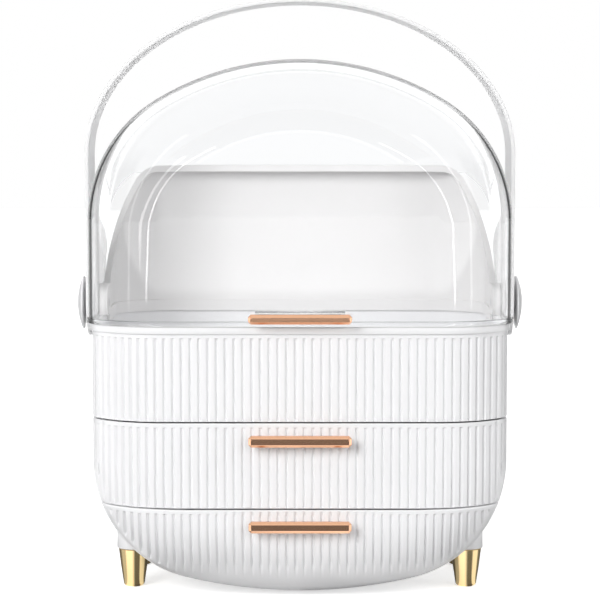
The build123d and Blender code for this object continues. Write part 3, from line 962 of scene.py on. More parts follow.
@dataclass(frozen=True)
class BowlWall(Wall):
    """A wall whose sides follow the bowl's outline, on one side or right round underneath."""

    level_end: float = 0.035
    level_fade: float = 0.05
    inner_stride: int = 3
    corner_steps: int = 48
    middle_steps: int = 12

    def side_loop(self, y: float, distance: float, runs: list[float], mirror: float) -> Loop:
        """Go once round the section of a side wall at one depth.

        Args:
            y: depth from the middle.
            distance: distance along the plan, which sets the place on a reed.
            runs: lengths along the outline, from the first end to the last.
            mirror: 1 on the right, -1 to build the left side.

        Returns:
            The points, along the outside and back along the inside.
        """
        outer: Loop = []
        inner: Loop = []
        inset = FORM.inset_at(y)
        upright = smooth_step((FORM.reed_turn - abs(y)) / self.bowl_fade)
        for i, plain_run in enumerate(runs):
            run = self.level(plain_run, inset)
            point, _ = FORM.outline(run, inset, End.BOWL)
            keep = 1.0 - self.bend(point.z) * (1.0 - upright)
            out = -REEDS.hollow(distance) * REEDS.strength(point.z, self.tiers) * keep
            ends = min(abs(plain_run - runs[0]), abs(runs[-1] - plain_run))
            if ends < self.edge:
                out -= self.edge - math.sqrt(self.edge**2 - (self.edge - ends) ** 2)
            outer.append(FORM.rim_point(run, y, out, End.BOWL))
            if i % self.inner_stride == 0 or i == len(runs) - 1:
                inner.append(FORM.rim_point(run, y, -self.thickness, End.BOWL))
        loop = outer + list(reversed(inner))
        if mirror < 0:
            loop = [Vector((-p.x, p.y, p.z)) for p in loop]
        return loop

    def level(self, run: float, inset: float) -> float:
        """Move a length along the outline so that its height stays the same at another inset.

        Args:
            run: length along the outline.
            inset: distance inside the outline.

        Returns:
            The moved length.
        """
        half = FORM.half_run(End.BOWL)
        if run > half:
            return 2 * half - self.level(2 * half - run, inset)
        if run <= 0.0:
            return run
        corner = FORM.arcs(End.BOWL)[0]
        drop = corner * math.sin(run / corner) / (corner - inset)
        keep = 1.0 - smooth_step((run - self.level_end) / self.level_fade)
        return run + (corner * math.asin(min(drop, 1.0)) - run) * keep

    def run_at(self, z: float) -> float:
        """Length along the outline down to a height."""
        corner, _, spring, _, _, _ = FORM.arcs(End.BOWL)
        return spring - z if z >= spring else corner * math.asin(min((spring - z) / corner, 1.0))

    def runs(self, low: Optional[float]) -> list[float]:
        """Lengths along the outline from the wall's top to a height, or right round if none.

        Args:
            low: the height, or nothing for a wall that runs under the bowl.

        Returns:
            The lengths, in order.
        """
        half = FORM.half_run(End.BOWL)
        corner, _, spring, _, _, turn = FORM.arcs(End.BOWL)
        first = self.run_at(self.high)
        last = half if low is None else self.run_at(low)
        lowest = spring - corner * math.sin(turn) if low is None else low
        marks = {first, first + self.edge * ROUND_MIDDLE, first + self.edge, last}
        marks.update(self.run_at(z) for z in self.heights(lowest, self.high))
        if low is None:
            marks.update(spread(0.0, corner * turn, self.corner_steps))
            marks.update(spread(corner * turn, half, self.middle_steps))
            marks = {mark for mark in marks if first <= mark <= last}
            marks.update({2 * half - mark for mark in marks})
        else:
            marks.update({last - self.edge * ROUND_MIDDLE, last - self.edge})
        return sorted(mark for mark in marks if mark >= first)

    def sides(self, name: str, start: float, stop: float) -> bpy.types.Object:
        """Build the sides between two depths: two walls, or one that runs under the bowl.

        Args:
            name: name of the new object.
            start: the foremost depth.
            stop: the rearmost depth.

        Returns:
            The new object.
        """
        around = self.low <= FORM.bowl_bottom
        runs = self.runs(None if around else self.low)
        walls = []
        for mirror in (1.0,) if around else (1.0, -1.0):
            loops = [self.side_loop(y, s, runs, mirror) for y, s in self.depths(start, stop)]
            walls.append(loft(name, loops))
        return join(name, walls)


@dataclass
class Housing:
    """The fixed white body: top compartment, drawer bay and legs. The rear wall is a frame node that
    Leftovers dresses.
    """

    tray_floor: float = 0.1266
    rim_top: float = 0.192
    rim_height: float = 0.005
    rim_proud: float = 0.0016
    rim_end: float = -0.016
    rim_fade: float = 0.003
    rim_soft: float = 0.0005
    edge: float = 0.0006
    wall: float = 0.0025
    floor_reach: float = 1.9
    seam: float = 0.001
    shelf_top: float = 0.066
    shelf_thickness: float = 0.002
    drawer_cut: float = 0.058
    leg_x: float = 0.1189
    leg_y: float = 0.038
    collar_radius: float = 0.012
    collar_soft: float = 0.0008
    collar_steps: int = 48
    foot_height: float = 0.0277
    foot_top: float = 0.011
    foot_bottom: float = 0.0075
    foot_round: float = 0.0025
    foot_steps: int = 6
    block_size: float = 0.014
    block_height: float = 0.007
    block_y: float = 0.045
    block_soft: float = 0.0004
    block_sink: float = 0.001
    bay_per_reed: int = 8

    @property
    def tiers(self) -> Pairs:
        """Lowest and highest height of the reeds of each drawer."""
        half = self.seam / 2
        return ((0.0, self.shelf_top - half), (self.shelf_top + half, self.tray_floor - self.seam))

    def plan_ring(self, per_reed: int) -> list[tuple[float, float, float, float]]:
        """Walk once round the plan of the upright part.

        Args:
            per_reed: how many stations each reed gets.

        Returns:
            X and Y from the middle, the normal's angle and the plan distance of each station.
        """
        step = REEDS.pitch / per_reed
        quarter: list[tuple[float, float, float, float]] = []
        inset, depth = FORM.station(0.0)
        while depth > 0.0:
            angle = FORM.profile(inset)[1] if depth > FORM.straight_y else 0.0
            quarter.append((FORM.half_width - inset, -depth, -angle, len(quarter) * step))
            inset, depth = FORM.station(len(quarter) * step)
        front = [(-x, y, math.pi - a, s) for x, y, a, s in reversed(quarter[1:])] + quarter
        back = [(x, -y, -a, s) for x, y, a, s in reversed(front)]
        return front + back

    def upper_tray(self) -> bpy.types.Object:
        """The top compartment: reeded wall, smooth rim band and floor.

        Returns:
            The joined piece.
        """
        edge, soft, wall = self.edge, self.rim_soft, self.wall
        low, band, top = self.tray_floor, self.rim_top - self.rim_height, self.rim_top
        middle = edge * ROUND_MIDDLE
        tier = ((low - self.seam, band),)
        rows = Wall(low, band, tiers=tier).heights(low + edge, band)
        loops = []
        for x, y, angle, distance in self.plan_ring(REEDS.per_reed):
            proud = self.rim_proud * smooth_step((self.rim_end - y) / self.rim_fade)
            outline = [(-2 * wall, low), (-edge, low), (-middle, low + middle)]
            outline += [(-REEDS.hollow(distance) * REEDS.strength(z, tier), z) for z in reversed(rows)]
            outline += [
                (proud - soft, band + HAIR), (proud - soft * 0.3, band + soft * 0.4), (proud, band + soft),
                (proud, top - edge), (proud - middle, top - middle), (proud - edge, top),
                (edge - wall, top), (middle - wall, top - middle), (-wall, top - edge),
                (-wall, low + 2 * wall), (-wall * 1.3, low + wall * 1.3), (-wall * 2, low + wall),
            ]
            loops.append([plan_point(x, y, angle, out, z) for out, z in outline])
        ring = loft("tray_wall", loops, around=True)
        inside = [(x, y, angle, -self.floor_reach * wall) for x, y, angle, _ in self.plan_ring(2)]
        faces = [[plan_point(*spot, z) for spot in inside] for z in (low + 2 * HAIR, low + wall - HAIR)]
        return tidy(join("upper_compartment", [ring, loft("tray_floor", faces)]))

    def bay(self) -> bpy.types.Object:
        """The shell round the drawers: sides, back, bowl, leg collars and screw blocks.

        Returns:
            The joined piece.
        """
        wall = BowlWall(0.0, self.tray_floor, tiers=self.tiers, per_reed=self.bay_per_reed)
        pieces = [wall.sides("bay_sides", -self.drawer_cut, FORM.reed_turn), wall.face("bay_back", 1.0)]
        pieces += [self.collar(sx * self.leg_x, FORM.middle_y + sy * self.leg_y) for sx, sy in CORNERS]
        for z in (self.tray_floor, self.shelf_top - self.shelf_thickness):
            pieces += self.blocks(z)
        return tidy(join("drawer_bay_shell", pieces))

    def collar(self, x: float, y: float) -> bpy.types.Object:
        """A leg collar whose top is cut to the bowl's own slope, just inside its wall.

        Args:
            x: place of its middle across.
            y: place of its middle in depth.

        Returns:
            The new object.
        """
        radius, low, soft = self.collar_radius, self.foot_height, self.collar_soft
        high = FORM.edge_z(self.leg_x + radius, 0.0, End.BOWL)
        loops = []
        for reach, z in ((radius - soft, low), (radius - soft * ROUND_MIDDLE, low + soft * ROUND_MIDDLE),
                         (radius, low + soft), (radius, high)):
            loop = []
            for k in range(self.collar_steps):
                turn = 2 * math.pi * k / self.collar_steps
                px, py = x + reach * math.cos(turn), y + reach * math.sin(turn)
                cap = FORM.edge_z(min(abs(px), FORM.half_width - 10 * HAIR), self.wall / 2, End.BOWL)
                loop.append(Vector((px, py, min(z, max(cap, low + 2 * HAIR)))))
            loops.append(loop)
        return loft("collar", loops)

    def blocks(self, z: float) -> list[bpy.types.Object]:
        """Blocks on the side walls that carry a panel.

        Args:
            z: height of the panel's underside.

        Returns:
            The four blocks.
        """
        made = []
        low = z - self.block_height
        corner, centre_x, spring, _, _, _ = FORM.arcs(End.BOWL)
        reach = centre_x + math.sqrt(corner**2 - max(spring - low, 0.0) ** 2) - self.wall
        for sx, sy in CORNERS:
            inner, outer = sx * (reach - self.block_size), sx * (reach + self.block_sink)
            y = FORM.middle_y + sy * self.block_y
            made.append(bevelled_box("block", (min(inner, outer), y - self.block_size / 2, low),
                                     (max(inner, outer), y + self.block_size / 2, z), self.block_soft, 2))
        return made

    def feet(self) -> bpy.types.Object:
        """Four tapered metal feet, rounded at the floor.

        Returns:
            The joined piece.
        """
        low, high, soft, height = self.foot_bottom, self.foot_top, self.foot_round, self.foot_height
        profile = [(0.0, 0.0), (low - soft, 0.0)]
        for turn in spread(0.0, math.pi / 2, self.foot_steps)[1:]:
            profile.append((low - soft + soft * math.sin(turn), soft * (1 - math.cos(turn))))
        profile += [((low + high) / 2, height / 2), (high - HAIR, height - self.edge),
                    (high - self.edge, height - HAIR), (0.0, height - HAIR)]
        spots = [(sx * self.leg_x, FORM.middle_y + sy * self.leg_y, 0.0) for sx, sy in CORNERS]
        return tidy(join("gold_feet_turned", [turned("foot", profile, spot, "Z") for spot in spots]))

    def build(self) -> None:
        """Make every piece of the housing and fasten it."""
        place(dress(self.upper_tray(), GLOSS_WHITE), Body.HOUSING, "white_body", "upper_tray")
        place(dress(self.bay(), GLOSS_WHITE), Body.HOUSING, "white_body", "drawer_bay")
        place(dress(self.feet(), GOLD), Body.HOUSING, "gold", "gold_feet")


def plan_point(x: float, y: float, angle: float, out: float, z: float) -> Vector:
    """A point of the plan, moved out along its normal and up to a height."""
    return Vector((x + math.cos(angle) * out, y + FORM.middle_y + math.sin(angle) * out, z))


@dataclass
class Lid:
    """The clear dome with its flange, ears and finger lip, and its pull bar."""

    low: float = 0.1923
    gap: float = 0.0004
    thickness: float = 0.0025
    lap: float = 0.005
    flange_height: float = 0.0035
    flange_proud: float = 0.0011
    flange_end: float = -0.016
    pivot_z: float = 0.2006
    ear_radius: float = 0.012
    lip_length: float = 0.061
    lip_reach: float = 0.009
    lip_low: float = 0.2021
    lip_height: float = 0.0016
    part_y: float = 0.002
    part_z: float = 0.1916
    part_top: float = 0.2978
    part_top_y: float = 0.086
    skirt: float = 0.002
    side_steps: int = 12
    corner_steps: int = 40
    middle_steps: int = 28
    bevel_steps: int = 12
    front_steps: int = 20
    soft: float = 0.0006
    fine_soft: float = 0.0005
    pin_hole: float = 0.00305
    shading_angle: float = 30.0
    bar_z: float = 0.1984
    bar_height: float = 0.0068

    def sheet(self) -> bpy.types.Object:
        """The outer surface of the whole dome above the rim, before it is parted.

        Returns:
            The new object, open below.
        """
        out = self.gap + self.thickness
        half = FORM.half_run(End.DOME)
        corner, _, spring, _, _, turn = FORM.arcs(End.DOME)
        runs = spread(self.low - self.skirt - spring, 0.0, self.side_steps)[:-1]
        runs += spread(0.0, corner * turn, self.corner_steps)[:-1]
        runs += spread(corner * turn, half, self.middle_steps)[:-1]
        full = runs + [half] + [2 * half - run for run in reversed(runs)]
        depths = self.depths()
        vertices: list[Point] = []
        for y in depths:
            vertices += [tuple(FORM.rim_point(run, y, out, End.DOME)) for run in full]
        count = len(full)
        last = (len(depths) - 1) * count
        faces: list[tuple[int, ...]] = []
        for start in range(0, last, count):
            for a in range(start, start + count - 1):
                faces.append((a, a + 1, a + count + 1, a + count))
        faces += [tuple(range(count)), tuple(reversed(range(last, last + count)))]
        return new_piece("lid_shell", vertices, [], faces)

    def depths(self) -> list[float]:
        """Depths of the rings from the front face to the back face.

        Returns:
            The depths, in order.
        """
        start = FORM.straight_y
        centre = FORM.half_depth - FORM.front_radius
        quarter = [start + FORM.side_radius * math.sin(angle)
                   for angle in spread(0.0, FORM.tilt, self.bevel_steps)]
        quarter += [centre + FORM.front_radius * math.sin(angle)
                    for angle in spread(FORM.tilt, math.pi / 2, self.front_steps)]
        middle = spread(-start, start, self.side_steps)[1:-1]
        return [-y for y in reversed(quarter)] + middle + quarter

    def dome(self) -> bpy.types.Object:
        """The clear shell, parted from the rear wall and given its thickness.

        Returns:
            The new object.
        """
        piece = self.sheet()
        with editing(piece):
            bpy.ops.mesh.normals_make_consistent(inside=False)
            bpy.ops.mesh.bisect(plane_co=(0, 0, self.low), plane_no=(0, 0, 1), clear_inner=True)
        self.part(piece)
        add_modifier(piece, "SOLIDIFY", thickness=self.thickness, offset=-1.0, use_even_offset=True)
        return tidy(piece, self.shading_angle)

    def part(self, piece: bpy.types.Object) -> None:
        """Delete what lies behind the parting plane, moved back by the lap.

        Args:
            piece: the dome's outer surface.
        """
        along = Vector((0, self.part_top_y - self.part_y, self.part_top - self.part_z)).normalized()
        back = Vector((0, along.z, -along.y))
        start = Vector((0, FORM.middle_y + self.part_y, self.part_z)) + back * self.lap
        top = self.part_top - self.lap
        for spot, normal in ((start, back), ((0, 0, top), (0, 0, 1))):
            with editing(piece):
                bpy.ops.mesh.bisect(plane_co=spot, plane_no=normal)
                bpy.ops.mesh.select_all(action="DESELECT")
        for face in piece.data.polygons:
            face.select = (face.center - start).dot(back) > 0 and face.center.z < top
        bpy.ops.object.mode_set(mode="EDIT")
        bpy.ops.mesh.select_mode(type="FACE")
        bpy.ops.mesh.delete(type="FACE")
        bpy.ops.object.mode_set(mode="OBJECT")

    def flange(self) -> bpy.types.Object:
        """The band round the lid's lower edge, ahead of the pivots.

        Returns:
            The new object.
        """
        outer, inner = self.gap + self.thickness + self.flange_proud, -self.soft
        soft, middle = self.soft, self.soft * ROUND_MIDDLE
        low, high = self.low, self.low + self.flange_height
        outline = [
            (inner, low), (outer - soft, low), (outer - middle, low + middle), (outer, low + soft),
            (outer, high - soft), (outer - middle, high - middle), (outer - soft, high), (inner, high),
        ]
        return loft("lid_flange", [[plan_point(x, y, angle, out, z) for out, z in outline]
                                   for x, y, angle, _ in Housing().plan_ring(3) if y <= self.flange_end])

    def ears(self) -> list[bpy.types.Object]:
        """Round ears of the lid at the pivots.

        Returns:
            The two ears.
        """
        inner = FORM.half_width + self.gap
        outer = inner + self.thickness
        radius, soft, hole = self.ear_radius, self.fine_soft, self.pin_hole
        profile = [(hole, inner), (radius - soft, inner), (radius, inner + soft), (radius, outer - soft),
                   (radius - soft, outer), (hole, outer), (hole, inner)]
        return [turned("lid_ear", profile, (0, FORM.middle_y, self.pivot_z), axis) for axis in ("X", "-X")]

    def build(self) -> None:
        """Make the lid and its bar and fasten them."""
        lip_face = FORM.middle_y - FORM.half_depth - self.gap - self.thickness
        half, soft = self.lip_length / 2, self.fine_soft
        lip = bevelled_box("lid_lip", (-half, lip_face - self.lip_reach, self.lip_low),
                           (half, lip_face + soft, self.lip_low + self.lip_height), soft, 2)
        lid = join("clear_lid", [self.dome(), self.flange()] + self.ears() + [lip])
        place(dress(tidy(lid, self.shading_angle), CLEAR), Body.LID, "clear_lid", "lid_dome")
        PullBar(self.bar_z, self.bar_height, lip_face).build("lid_pull_bar", Body.LID, "lid_bar")


@dataclass
class PullBar:
    """A bevelled metal bar on two posts."""

    z: float
    height: float
    face_y: float
    length: float = 0.0704
    reach: float = 0.012
    thick: float = 0.006
    bevel: float = 0.0018
    fine_bevel: float = 0.00025
    post_radius: float = 0.0025
    post_spacing: float = 0.054
    post_bevel: float = 0.0002
    post_sides: int = 40
    post_sink: float = 0.001

    def post(self, x: float) -> bpy.types.Object:
        """Model a post, sunk a little into the bar.

        Args:
            x: place of the post across.

        Returns:
            The new object.
        """
        length = self.reach - self.thick + self.post_sink
        bpy.ops.object.select_all(action="DESELECT")
        bpy.ops.mesh.primitive_cylinder_add(
            vertices=self.post_sides, radius=self.post_radius, depth=length,
            location=(x, self.face_y - length / 2, self.z), rotation=(math.pi / 2, 0, 0))
        post = bpy.context.active_object
        apply_place(post)
        with editing(post):
            bpy.ops.mesh.bevel(offset=self.post_bevel, segments=2, affect="EDGES")
        return post

    def build(self, name: str, body: Body, node: str) -> None:
        """Model the bar and its posts, dress them and fasten them.

        Args:
            name: name of the piece.
            body: the body that it moves with.
            node: the CAD node that it replaces.
        """
        half, front = self.length / 2, self.face_y - self.reach
        bar = bevelled_box(name, (-half, front, self.z - self.height / 2),
                           (half, front + self.thick, self.z + self.height / 2), self.bevel, 1)
        add_modifier(bar, "BEVEL", width=self.fine_bevel, segments=3, limit_method="ANGLE",
                     angle_limit=math.radians(30))
        posts = [self.post(side * self.post_spacing / 2) for side in (-1, 1)]
        whole = even_shading(tidy(join(name, [bar] + posts)))
        place(dress(whole, ROSE_GOLD), body, "rose_gold", node)


@dataclass
class Drawer:
    """A drawer: its reeded front and its pull bar, with the tray left to the frame."""

    name: str
    body: Body
    low: float
    high: float
    bar_z: float
    bar_height: float = 0.008
    cut: float = 0.0585

    def build(self) -> None:
        """Make the front and the bar and fasten them."""
        wall = BowlWall(self.low, self.high, tiers=((self.low, self.high),))
        pieces = [wall.face("front_face", -1.0), wall.sides("front_sides", -FORM.reed_turn, -self.cut)]
        front = tidy(join(f"{self.name}_reeded_front", pieces))
        place(dress(front, GLOSS_WHITE), self.body, "white_body", f"{self.name}_front")
        bar = PullBar(self.bar_z, self.bar_height, FORM.middle_y - FORM.half_depth)
        bar.build(f"{self.name}_pull_bar", self.body, f"{self.name}_bar")


@dataclass
class Strap:
    """The carrying strap and the knobs that hold it."""

    half_width: float = 0.1505
    thickness: float = 0.003
    width: float = 0.048
    spring: float = 0.308
    top: float = 0.4187
    pivot_z: float = 0.2006
    edge: float = 0.0009
    edge_share: float = 0.8
    edge_steps: int = 4
    first_turn: float = 0.06
    end_steps: int = 18
    straight_steps: int = 10
    arch_steps: int = 48
    shading_angle: float = 40.0
    knob_radius: float = 0.0192
    knob_back: float = 0.1563
    knob_start: float = 0.1538
    knob_edge: float = 0.0012
    knob_dome: float = 0.004
    knob_rim: float = 0.0004
    knob_steps: int = 14
    neck_radius: float = 0.007

    def section(self, centre: Vector, across: Vector, half: float) -> Loop:
        """A rounded oblong across the strap.

        Args:
            centre: middle of the section.
            across: outward direction, square to the strap's face.
            half: half of the strap's width there.

        Returns:
            The points of the oblong.
        """
        depth = self.thickness / 2
        edge = min(self.edge, half * self.edge_share)
        loop = []
        for cy, cx, start in ((1, 1, 0.0), (-1, 1, 0.5), (-1, -1, 1.0), (1, -1, 1.5)):
            for angle in spread(math.pi * start, math.pi * (start + 0.5), self.edge_steps):
                along = cy * (half - edge) + edge * math.cos(angle)
                out = cx * (depth - edge) + edge * math.sin(angle)
                loop.append(centre + across * out + Vector((0, along, 0)))
        return loop

    def band(self) -> bpy.types.Object:
        """The strap, from one round end over the top to the other.

        Returns:
            The new object.
        """
        middle = self.half_width + self.thickness / 2
        rise = self.top - self.thickness / 2 - self.spring
        half = self.width / 2
        level = Vector((1, 0, 0))
        stations: list[tuple[Vector, Vector, float]] = []
        for angle in spread(self.first_turn, math.pi / 2, self.end_steps):
            z = self.pivot_z - half * math.cos(angle)
            stations.append((Vector((middle, FORM.middle_y, z)), level, half * math.sin(angle)))
        for z in spread(self.pivot_z, self.spring, self.straight_steps)[1:]:
            stations.append((Vector((middle, FORM.middle_y, z)), level, half))
        for angle in spread(0.0, math.pi / 2, self.arch_steps)[1:]:
            point = Vector((middle * math.cos(angle), FORM.middle_y, self.spring + rise * math.sin(angle)))
            normal = Vector((rise * math.cos(angle), 0, middle * math.sin(angle))).normalized()
            stations.append((point, normal, half))
        left = [(Vector((-p.x, p.y, p.z)), Vector((-n.x, 0, n.z)), w) for p, n, w in reversed(stations[:-1])]
        band = loft("strap_band", [self.section(*one) for one in stations + left])
        return even_shading(tidy(band, self.shading_angle))

    def knob(self, axis: str) -> bpy.types.Object:
        """A domed cap outside the strap, dished behind.

        Args:
            axis: the side that it points to, "X" or "-X".

        Returns:
            The new object.
        """
        rim = self.knob_rim
        profile = [(0.0, self.knob_start), (self.neck_radius, self.knob_start),
                   (self.neck_radius, self.knob_back - self.knob_edge),
                   (self.knob_radius - rim, self.knob_back), (self.knob_radius, self.knob_back + rim)]
        ball = (self.knob_radius**2 + self.knob_dome**2) / (2 * self.knob_dome)
        centre = self.knob_back + self.knob_edge + self.knob_dome - ball
        for radius in spread(self.knob_radius, 0.0, self.knob_steps):
            profile.append((radius, centre + math.sqrt(ball**2 - radius**2)))
        return turned("knob", profile, (0, FORM.middle_y, self.pivot_z), axis)

    def build(self) -> None:
        """Make the strap and both knobs and fasten them."""
        place(dress(self.band(), STRAP_WHITE), Body.STRAP, "white_strap", "carry_strap")
        knobs = tidy(join("turned_knobs", [self.knob("X"), self.knob("-X")]))
        place(dress(knobs, GLOSS_WHITE), Body.HOUSING, "white_strap", "pivot_knobs")


class Leftovers:
    """Frame nodes whose own shape is right, which only need their finish."""

    finishes: dict[Finish, tuple[str, ...]] = {
        WALL_WHITE_PAINTED_SHADE: ("rear_wall",),
        INNER_WHITE: ("middle_shelf", "upper_rails", "lower_rails", "upper_drawer_tray", "lower_drawer_tray"),
        STRAP_WHITE: ("spacer_washers",),
        STEEL: ("tray_screws", "shelf_screws", "lid_bar_screws", "upper_bar_screws", "lower_bar_screws",
                "pivot_pins", "foot_studs"),
    }

    def build(self) -> None:
        """Dress each of the nodes."""
        for finish, names in self.finishes.items():
            for name in names:
                dress(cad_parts[name], finish)
                LOG.info("%s keeps its shape and takes %s", name, finish.name)


@dataclass(frozen=True)
class Lamp:
    """A soft box of the studio: where it stands, its width and height, and its power in watts.

    It leans to one side by the tilt, in degrees. Gloss says whether gloss, metal and the clear
    lid show it.
    """

    name: str
    spot: Point
    size: tuple[float, float]
    power: float
    aim: Point = (0, 0, 0.2)
    tilt: float = 0.0
    gloss: bool = False

    def build(self) -> None:
        """Add the lamp."""
        data = bpy.data.lights.new(self.name, "AREA")
        data.shape = "RECTANGLE"
        data.size, data.size_y = self.size
        data.energy = self.power
        lamp = bpy.data.objects.new(self.name, data)
        bpy.context.scene.collection.objects.link(lamp)
        lamp.location = self.spot
        facing = (Vector(self.aim) - Vector(self.spot)).to_track_quat("-Z", "Y").to_matrix()
        lamp.rotation_euler = (facing @ Matrix.Rotation(math.radians(self.tilt), 3, "Z")).to_euler()
        lamp.visible_glossy = self.gloss
        lamp.visible_transmission = self.gloss


LOW_AIM: Point = (0, 0, 0.15)
LID_LEFT: Point = (-0.08, 0, 0.26)
LID_RIGHT: Point = (0.08, 0, 0.26)
BOXES = (
    Lamp("key_box", (-1.35, -2.15, 1.2), (1.0, 1.1), 48.0),
    Lamp("fill_box", (1.2, -2.1, 0.8), (0.8, 1.1), 11.0),
    Lamp("left_side", (-1.7, -0.6, 0.8), (0.6, 1.2), 6.0, LOW_AIM),
    Lamp("right_side", (1.7, -0.6, 0.8), (0.6, 1.2), 8.4, LOW_AIM),
    Lamp("rear_box", (0.7, 2.3, 1.1), (1.0, 1.1), 16.0),
    Lamp("top_box", (0, 0.1, 1.9), (1.4, 1.0), 4.0),
)
LID_LINES = (
    Lamp("left_line", (-0.62, -2.1, 0.32), (0.03, 0.9), 0.8, LID_LEFT, -50, True),
    Lamp("left_band", (-0.86, -1.95, 0.44), (0.08, 1.0), 0.9, LID_LEFT, -48, True),
    Lamp("left_edge", (-1.25, -1.6, 0.75), (0.05, 1.7), 0.7, LID_LEFT, -28, True),
    Lamp("right_line", (0.66, -2.1, 0.36), (0.03, 1.0), 0.8, LID_RIGHT, 48, True),
    Lamp("right_edge", (1.25, -1.6, 0.75), (0.06, 1.7), 0.8, LID_RIGHT, 28, True),
)
DARK_REFLECTION = 0.06           # brightness of the painted dark reflections on the floor, and of the world's dark directions that only gloss sees

# Direction in degrees, 0 in front, and the brightness that gloss sees there, in the world and as painted
# reflection on the floor.
REFLECTION_TURNS: Pairs = (
    (-180, 1.0), (-158, 1.0), (-148, DARK_REFLECTION), (-116, DARK_REFLECTION), (-106, 1.0), (-78, 1.0), (-72, DARK_REFLECTION),
    (-56, DARK_REFLECTION), (-50, 1.0), (50, 1.0), (56, DARK_REFLECTION), (72, DARK_REFLECTION), (78, 1.0), (106, 1.0), (116, DARK_REFLECTION),
    (148, DARK_REFLECTION), (158, 1.0), (180, 1.0),
)
# Direction round each foot in degrees, 0 in front, and the floor's brightness there for gloss: painted
# reflections that draw bright and dark streaks on the gold feet.
FOOT_REFLECTION_TURNS: Pairs = (
    (-180, 0.1), (-112, 0.1), (-98, 0.45), (-66, 0.45), (-56, 1.0), (-10, 1.0), (0, 0.6),
    (10, 0.08), (44, 0.08), (54, 0.8), (92, 0.8), (106, 0.1), (180, 0.1),
)


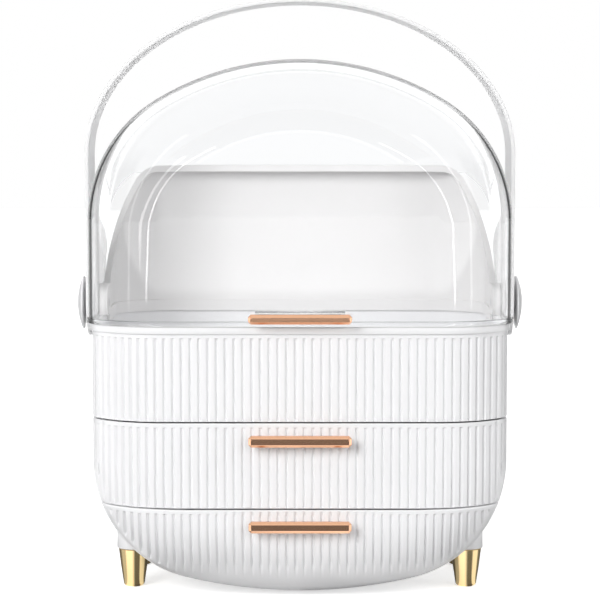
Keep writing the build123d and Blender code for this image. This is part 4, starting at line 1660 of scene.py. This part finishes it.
@dataclass
class Studio:
    """Floor, soft lights and the camera at the photograph's angle.

    The pairs give where a change starts and ends, in metres or as a share of straight up.
    """

    camera_place: Point = (0.0, -1.599, 0.3398)
    lens: float = 132.9
    sensor: float = 36.0
    horizon_row: float = 110.0
    middle_row: float = 300.0
    focal_pixels: float = 2214.0
    room_light: float = 0.20
    floor_size: float = 12.0
    floor_roughness: float = 0.6
    floor_tone: float = 0.88
    floor_lift: float = 0.6
    lift_reach: tuple[float, float] = (0.35, 1.1)
    floor_bounce: float = 0.45
    # Painted reflections on the floor, seen only by gloss: streaks round each foot, the dark directions
    # further out, and a dark band before the object.
    foot_x: float = 0.1189
    foot_y: float = -0.032
    foot_reach: tuple[float, float] = (0.11, 0.15)
    side_reach: tuple[float, float] = (0.35, 0.6)
    painted_dark_near: tuple[float, float] = (-0.30, -0.20)
    painted_dark_far: tuple[float, float] = (-2.9, -2.5)
    ring_top: tuple[float, float] = (0.35, 0.6)

    def floor(self) -> None:
        """A large pale floor: white to the camera, with the object's shadow, and painted dark reflections
        that only gloss sees.
        """
        bpy.ops.object.select_all(action="DESELECT")
        bpy.ops.mesh.primitive_plane_add(size=self.floor_size, location=(0, 0, 0))
        floor = bpy.context.active_object
        floor.name = "pale_floor"
        material = bpy.data.materials.new("pale_floor")
        material.use_nodes = True
        tree = material.node_tree
        shader = tree.nodes["Principled BSDF"]
        set_inputs(shader, {"Roughness": self.floor_roughness, "Emission Color": (1, 1, 1, 1)})
        paths = tree.nodes.new("ShaderNodeLightPath").outputs
        spot = tree.nodes.new("ShaderNodeTexCoord").outputs["Object"]
        away = tree.nodes.new("ShaderNodeVectorMath")
        away.operation = "LENGTH"
        tree.links.new(spot, away.inputs[0])
        lift = graded(tree, away.outputs["Value"], *self.lift_reach, self.floor_lift, 1.0)
        # Glossy rays see painted dark reflections on the floor.
        shade = masked(tree, paths["Is Glossy Ray"], self.painted_floor_reflections(tree, spot))
        bounce = masked(tree, paths["Is Diffuse Ray"], self.floor_bounce)
        tree.links.new(product(tree, shade, bounce, self.floor_tone), shader.inputs["Base Color"])
        seen = calc(tree, "MAXIMUM", paths["Is Camera Ray"], paths["Is Glossy Ray"])
        seen = calc(tree, "MAXIMUM", seen, paths["Is Transmission Ray"])
        tree.links.new(product(tree, seen, lift, shade), shader.inputs["Emission Strength"])
        floor.data.materials.append(material)

    def painted_floor_reflections(self, tree: bpy.types.NodeTree, spot: bpy.types.NodeSocket) -> bpy.types.NodeSocket:
        """Brightness of the floor in reflections: painted dark reflections before the object, and painted
        streaks round its feet.

        Args:
            tree: the floor's node tree.
            spot: the socket with the place on the floor.

        Returns:
            The socket that holds the brightness.
        """
        parts = tree.nodes.new("ShaderNodeSeparateXYZ")
        tree.links.new(spot, parts.inputs[0])
        side = calc(tree, "MULTIPLY", calc(tree, "SIGN", parts.outputs["X"]), self.foot_x)
        across = calc(tree, "SUBTRACT", parts.outputs["X"], side)
        ahead = calc(tree, "SUBTRACT", self.foot_y, parts.outputs["Y"])
        ring = ramp(tree, calc(tree, "ARCTAN2", across, ahead), FOOT_REFLECTION_TURNS)
        squares = calc(tree, "ADD", calc(tree, "POWER", across, 2.0), calc(tree, "POWER", ahead, 2.0))
        away = calc(tree, "SQRT", squares)
        feet = masked(tree, graded(tree, away, *self.foot_reach, 1.0, 0.0), ring)
        near = graded(tree, parts.outputs["Y"], *self.painted_dark_near, DARK_REFLECTION, 1.0)
        far = graded(tree, parts.outputs["Y"], *self.painted_dark_far, 1.0, 0.0)
        sides = masked(tree, graded(tree, away, *self.side_reach, 0.0, 1.0), self.reflection_ring(tree, parts))
        return product(tree, feet, calc(tree, "MAXIMUM", near, far), sides)

    def reflection_ring(self, tree: bpy.types.NodeTree, parts: bpy.types.Node) -> bpy.types.NodeSocket:
        """Brightness of the surround in reflections: white, darker in some directions beside the object. On
        the floor this is painted reflection.

        Args:
            tree: the node tree.
            parts: the node that puts out X and Y, seen from the object.

        Returns:
            The socket that holds the brightness.
        """
        ahead = calc(tree, "MULTIPLY", parts.outputs["Y"], -1.0)
        return ramp(tree, calc(tree, "ARCTAN2", parts.outputs["X"], ahead), REFLECTION_TURNS)

    def world(self) -> None:
        """A white surround. Gloss and metal also see it darker in some directions beside the object."""
        world = bpy.data.worlds.new("white_room")
        bpy.context.scene.world = world
        world.use_nodes = True
        tree = world.node_tree
        back = tree.nodes["Background"]
        back.inputs["Color"].default_value = (1, 1, 1, 1)
        paths = tree.nodes.new("ShaderNodeLightPath").outputs
        seen = calc(tree, "MAXIMUM", paths["Is Camera Ray"], paths["Is Transmission Ray"])
        level = calc(tree, "MULTIPLY_ADD", seen, 1.0 - self.room_light, self.room_light)
        parts = tree.nodes.new("ShaderNodeSeparateXYZ")
        tree.links.new(tree.nodes.new("ShaderNodeTexCoord").outputs["Generated"], parts.inputs[0])
        ring = self.reflection_ring(tree, parts)
        above = graded(tree, parts.outputs["Z"], *self.ring_top, 0.0, 1.0)
        shown = calc(tree, "MULTIPLY_ADD", above, calc(tree, "SUBTRACT", 1.0, ring), ring)
        extra = calc(tree, "SUBTRACT", shown, level)
        strength = calc(tree, "MULTIPLY_ADD", paths["Is Glossy Ray"], extra, level)
        tree.links.new(strength, back.inputs["Strength"])

    def camera(self) -> None:
        """The camera, level with the strap and turned a little down."""
        data = bpy.data.cameras.new("photo_camera")
        data.lens = self.lens
        data.sensor_width = self.sensor
        data.dof.use_dof = False
        camera = bpy.data.objects.new("photo_camera", data)
        bpy.context.scene.collection.objects.link(camera)
        camera.location = self.camera_place
        pitch = math.atan((self.middle_row - self.horizon_row) / self.focal_pixels)
        camera.rotation_euler = (math.pi / 2 - pitch, 0, 0)
        bpy.context.scene.camera = camera

    def build(self) -> None:
        """Set up the stage: big boxes light the white body, thin ones draw the lines on the lid."""
        self.floor()
        self.world()
        for lamp in BOXES + LID_LINES:
            lamp.build()
        self.camera()
        bpy.context.scene.view_settings.view_transform = "Standard"


def main() -> None:
    """Build the organizer piece by piece and set up the stage."""
    logging.basicConfig(level=logging.INFO, format="%(name)s: %(message)s")
    Studio().build()
    housing = Housing()
    housing.build()
    Lid().build()
    lower, upper = housing.tiers
    Drawer("upper_drawer", Body.UPPER_DRAWER, *upper, bar_z=0.1145).build()
    Drawer("lower_drawer", Body.LOWER_DRAWER, *lower, bar_z=0.0553).build()
    Strap().build()
    Leftovers().build()


if __name__ == "__main__":
    main()
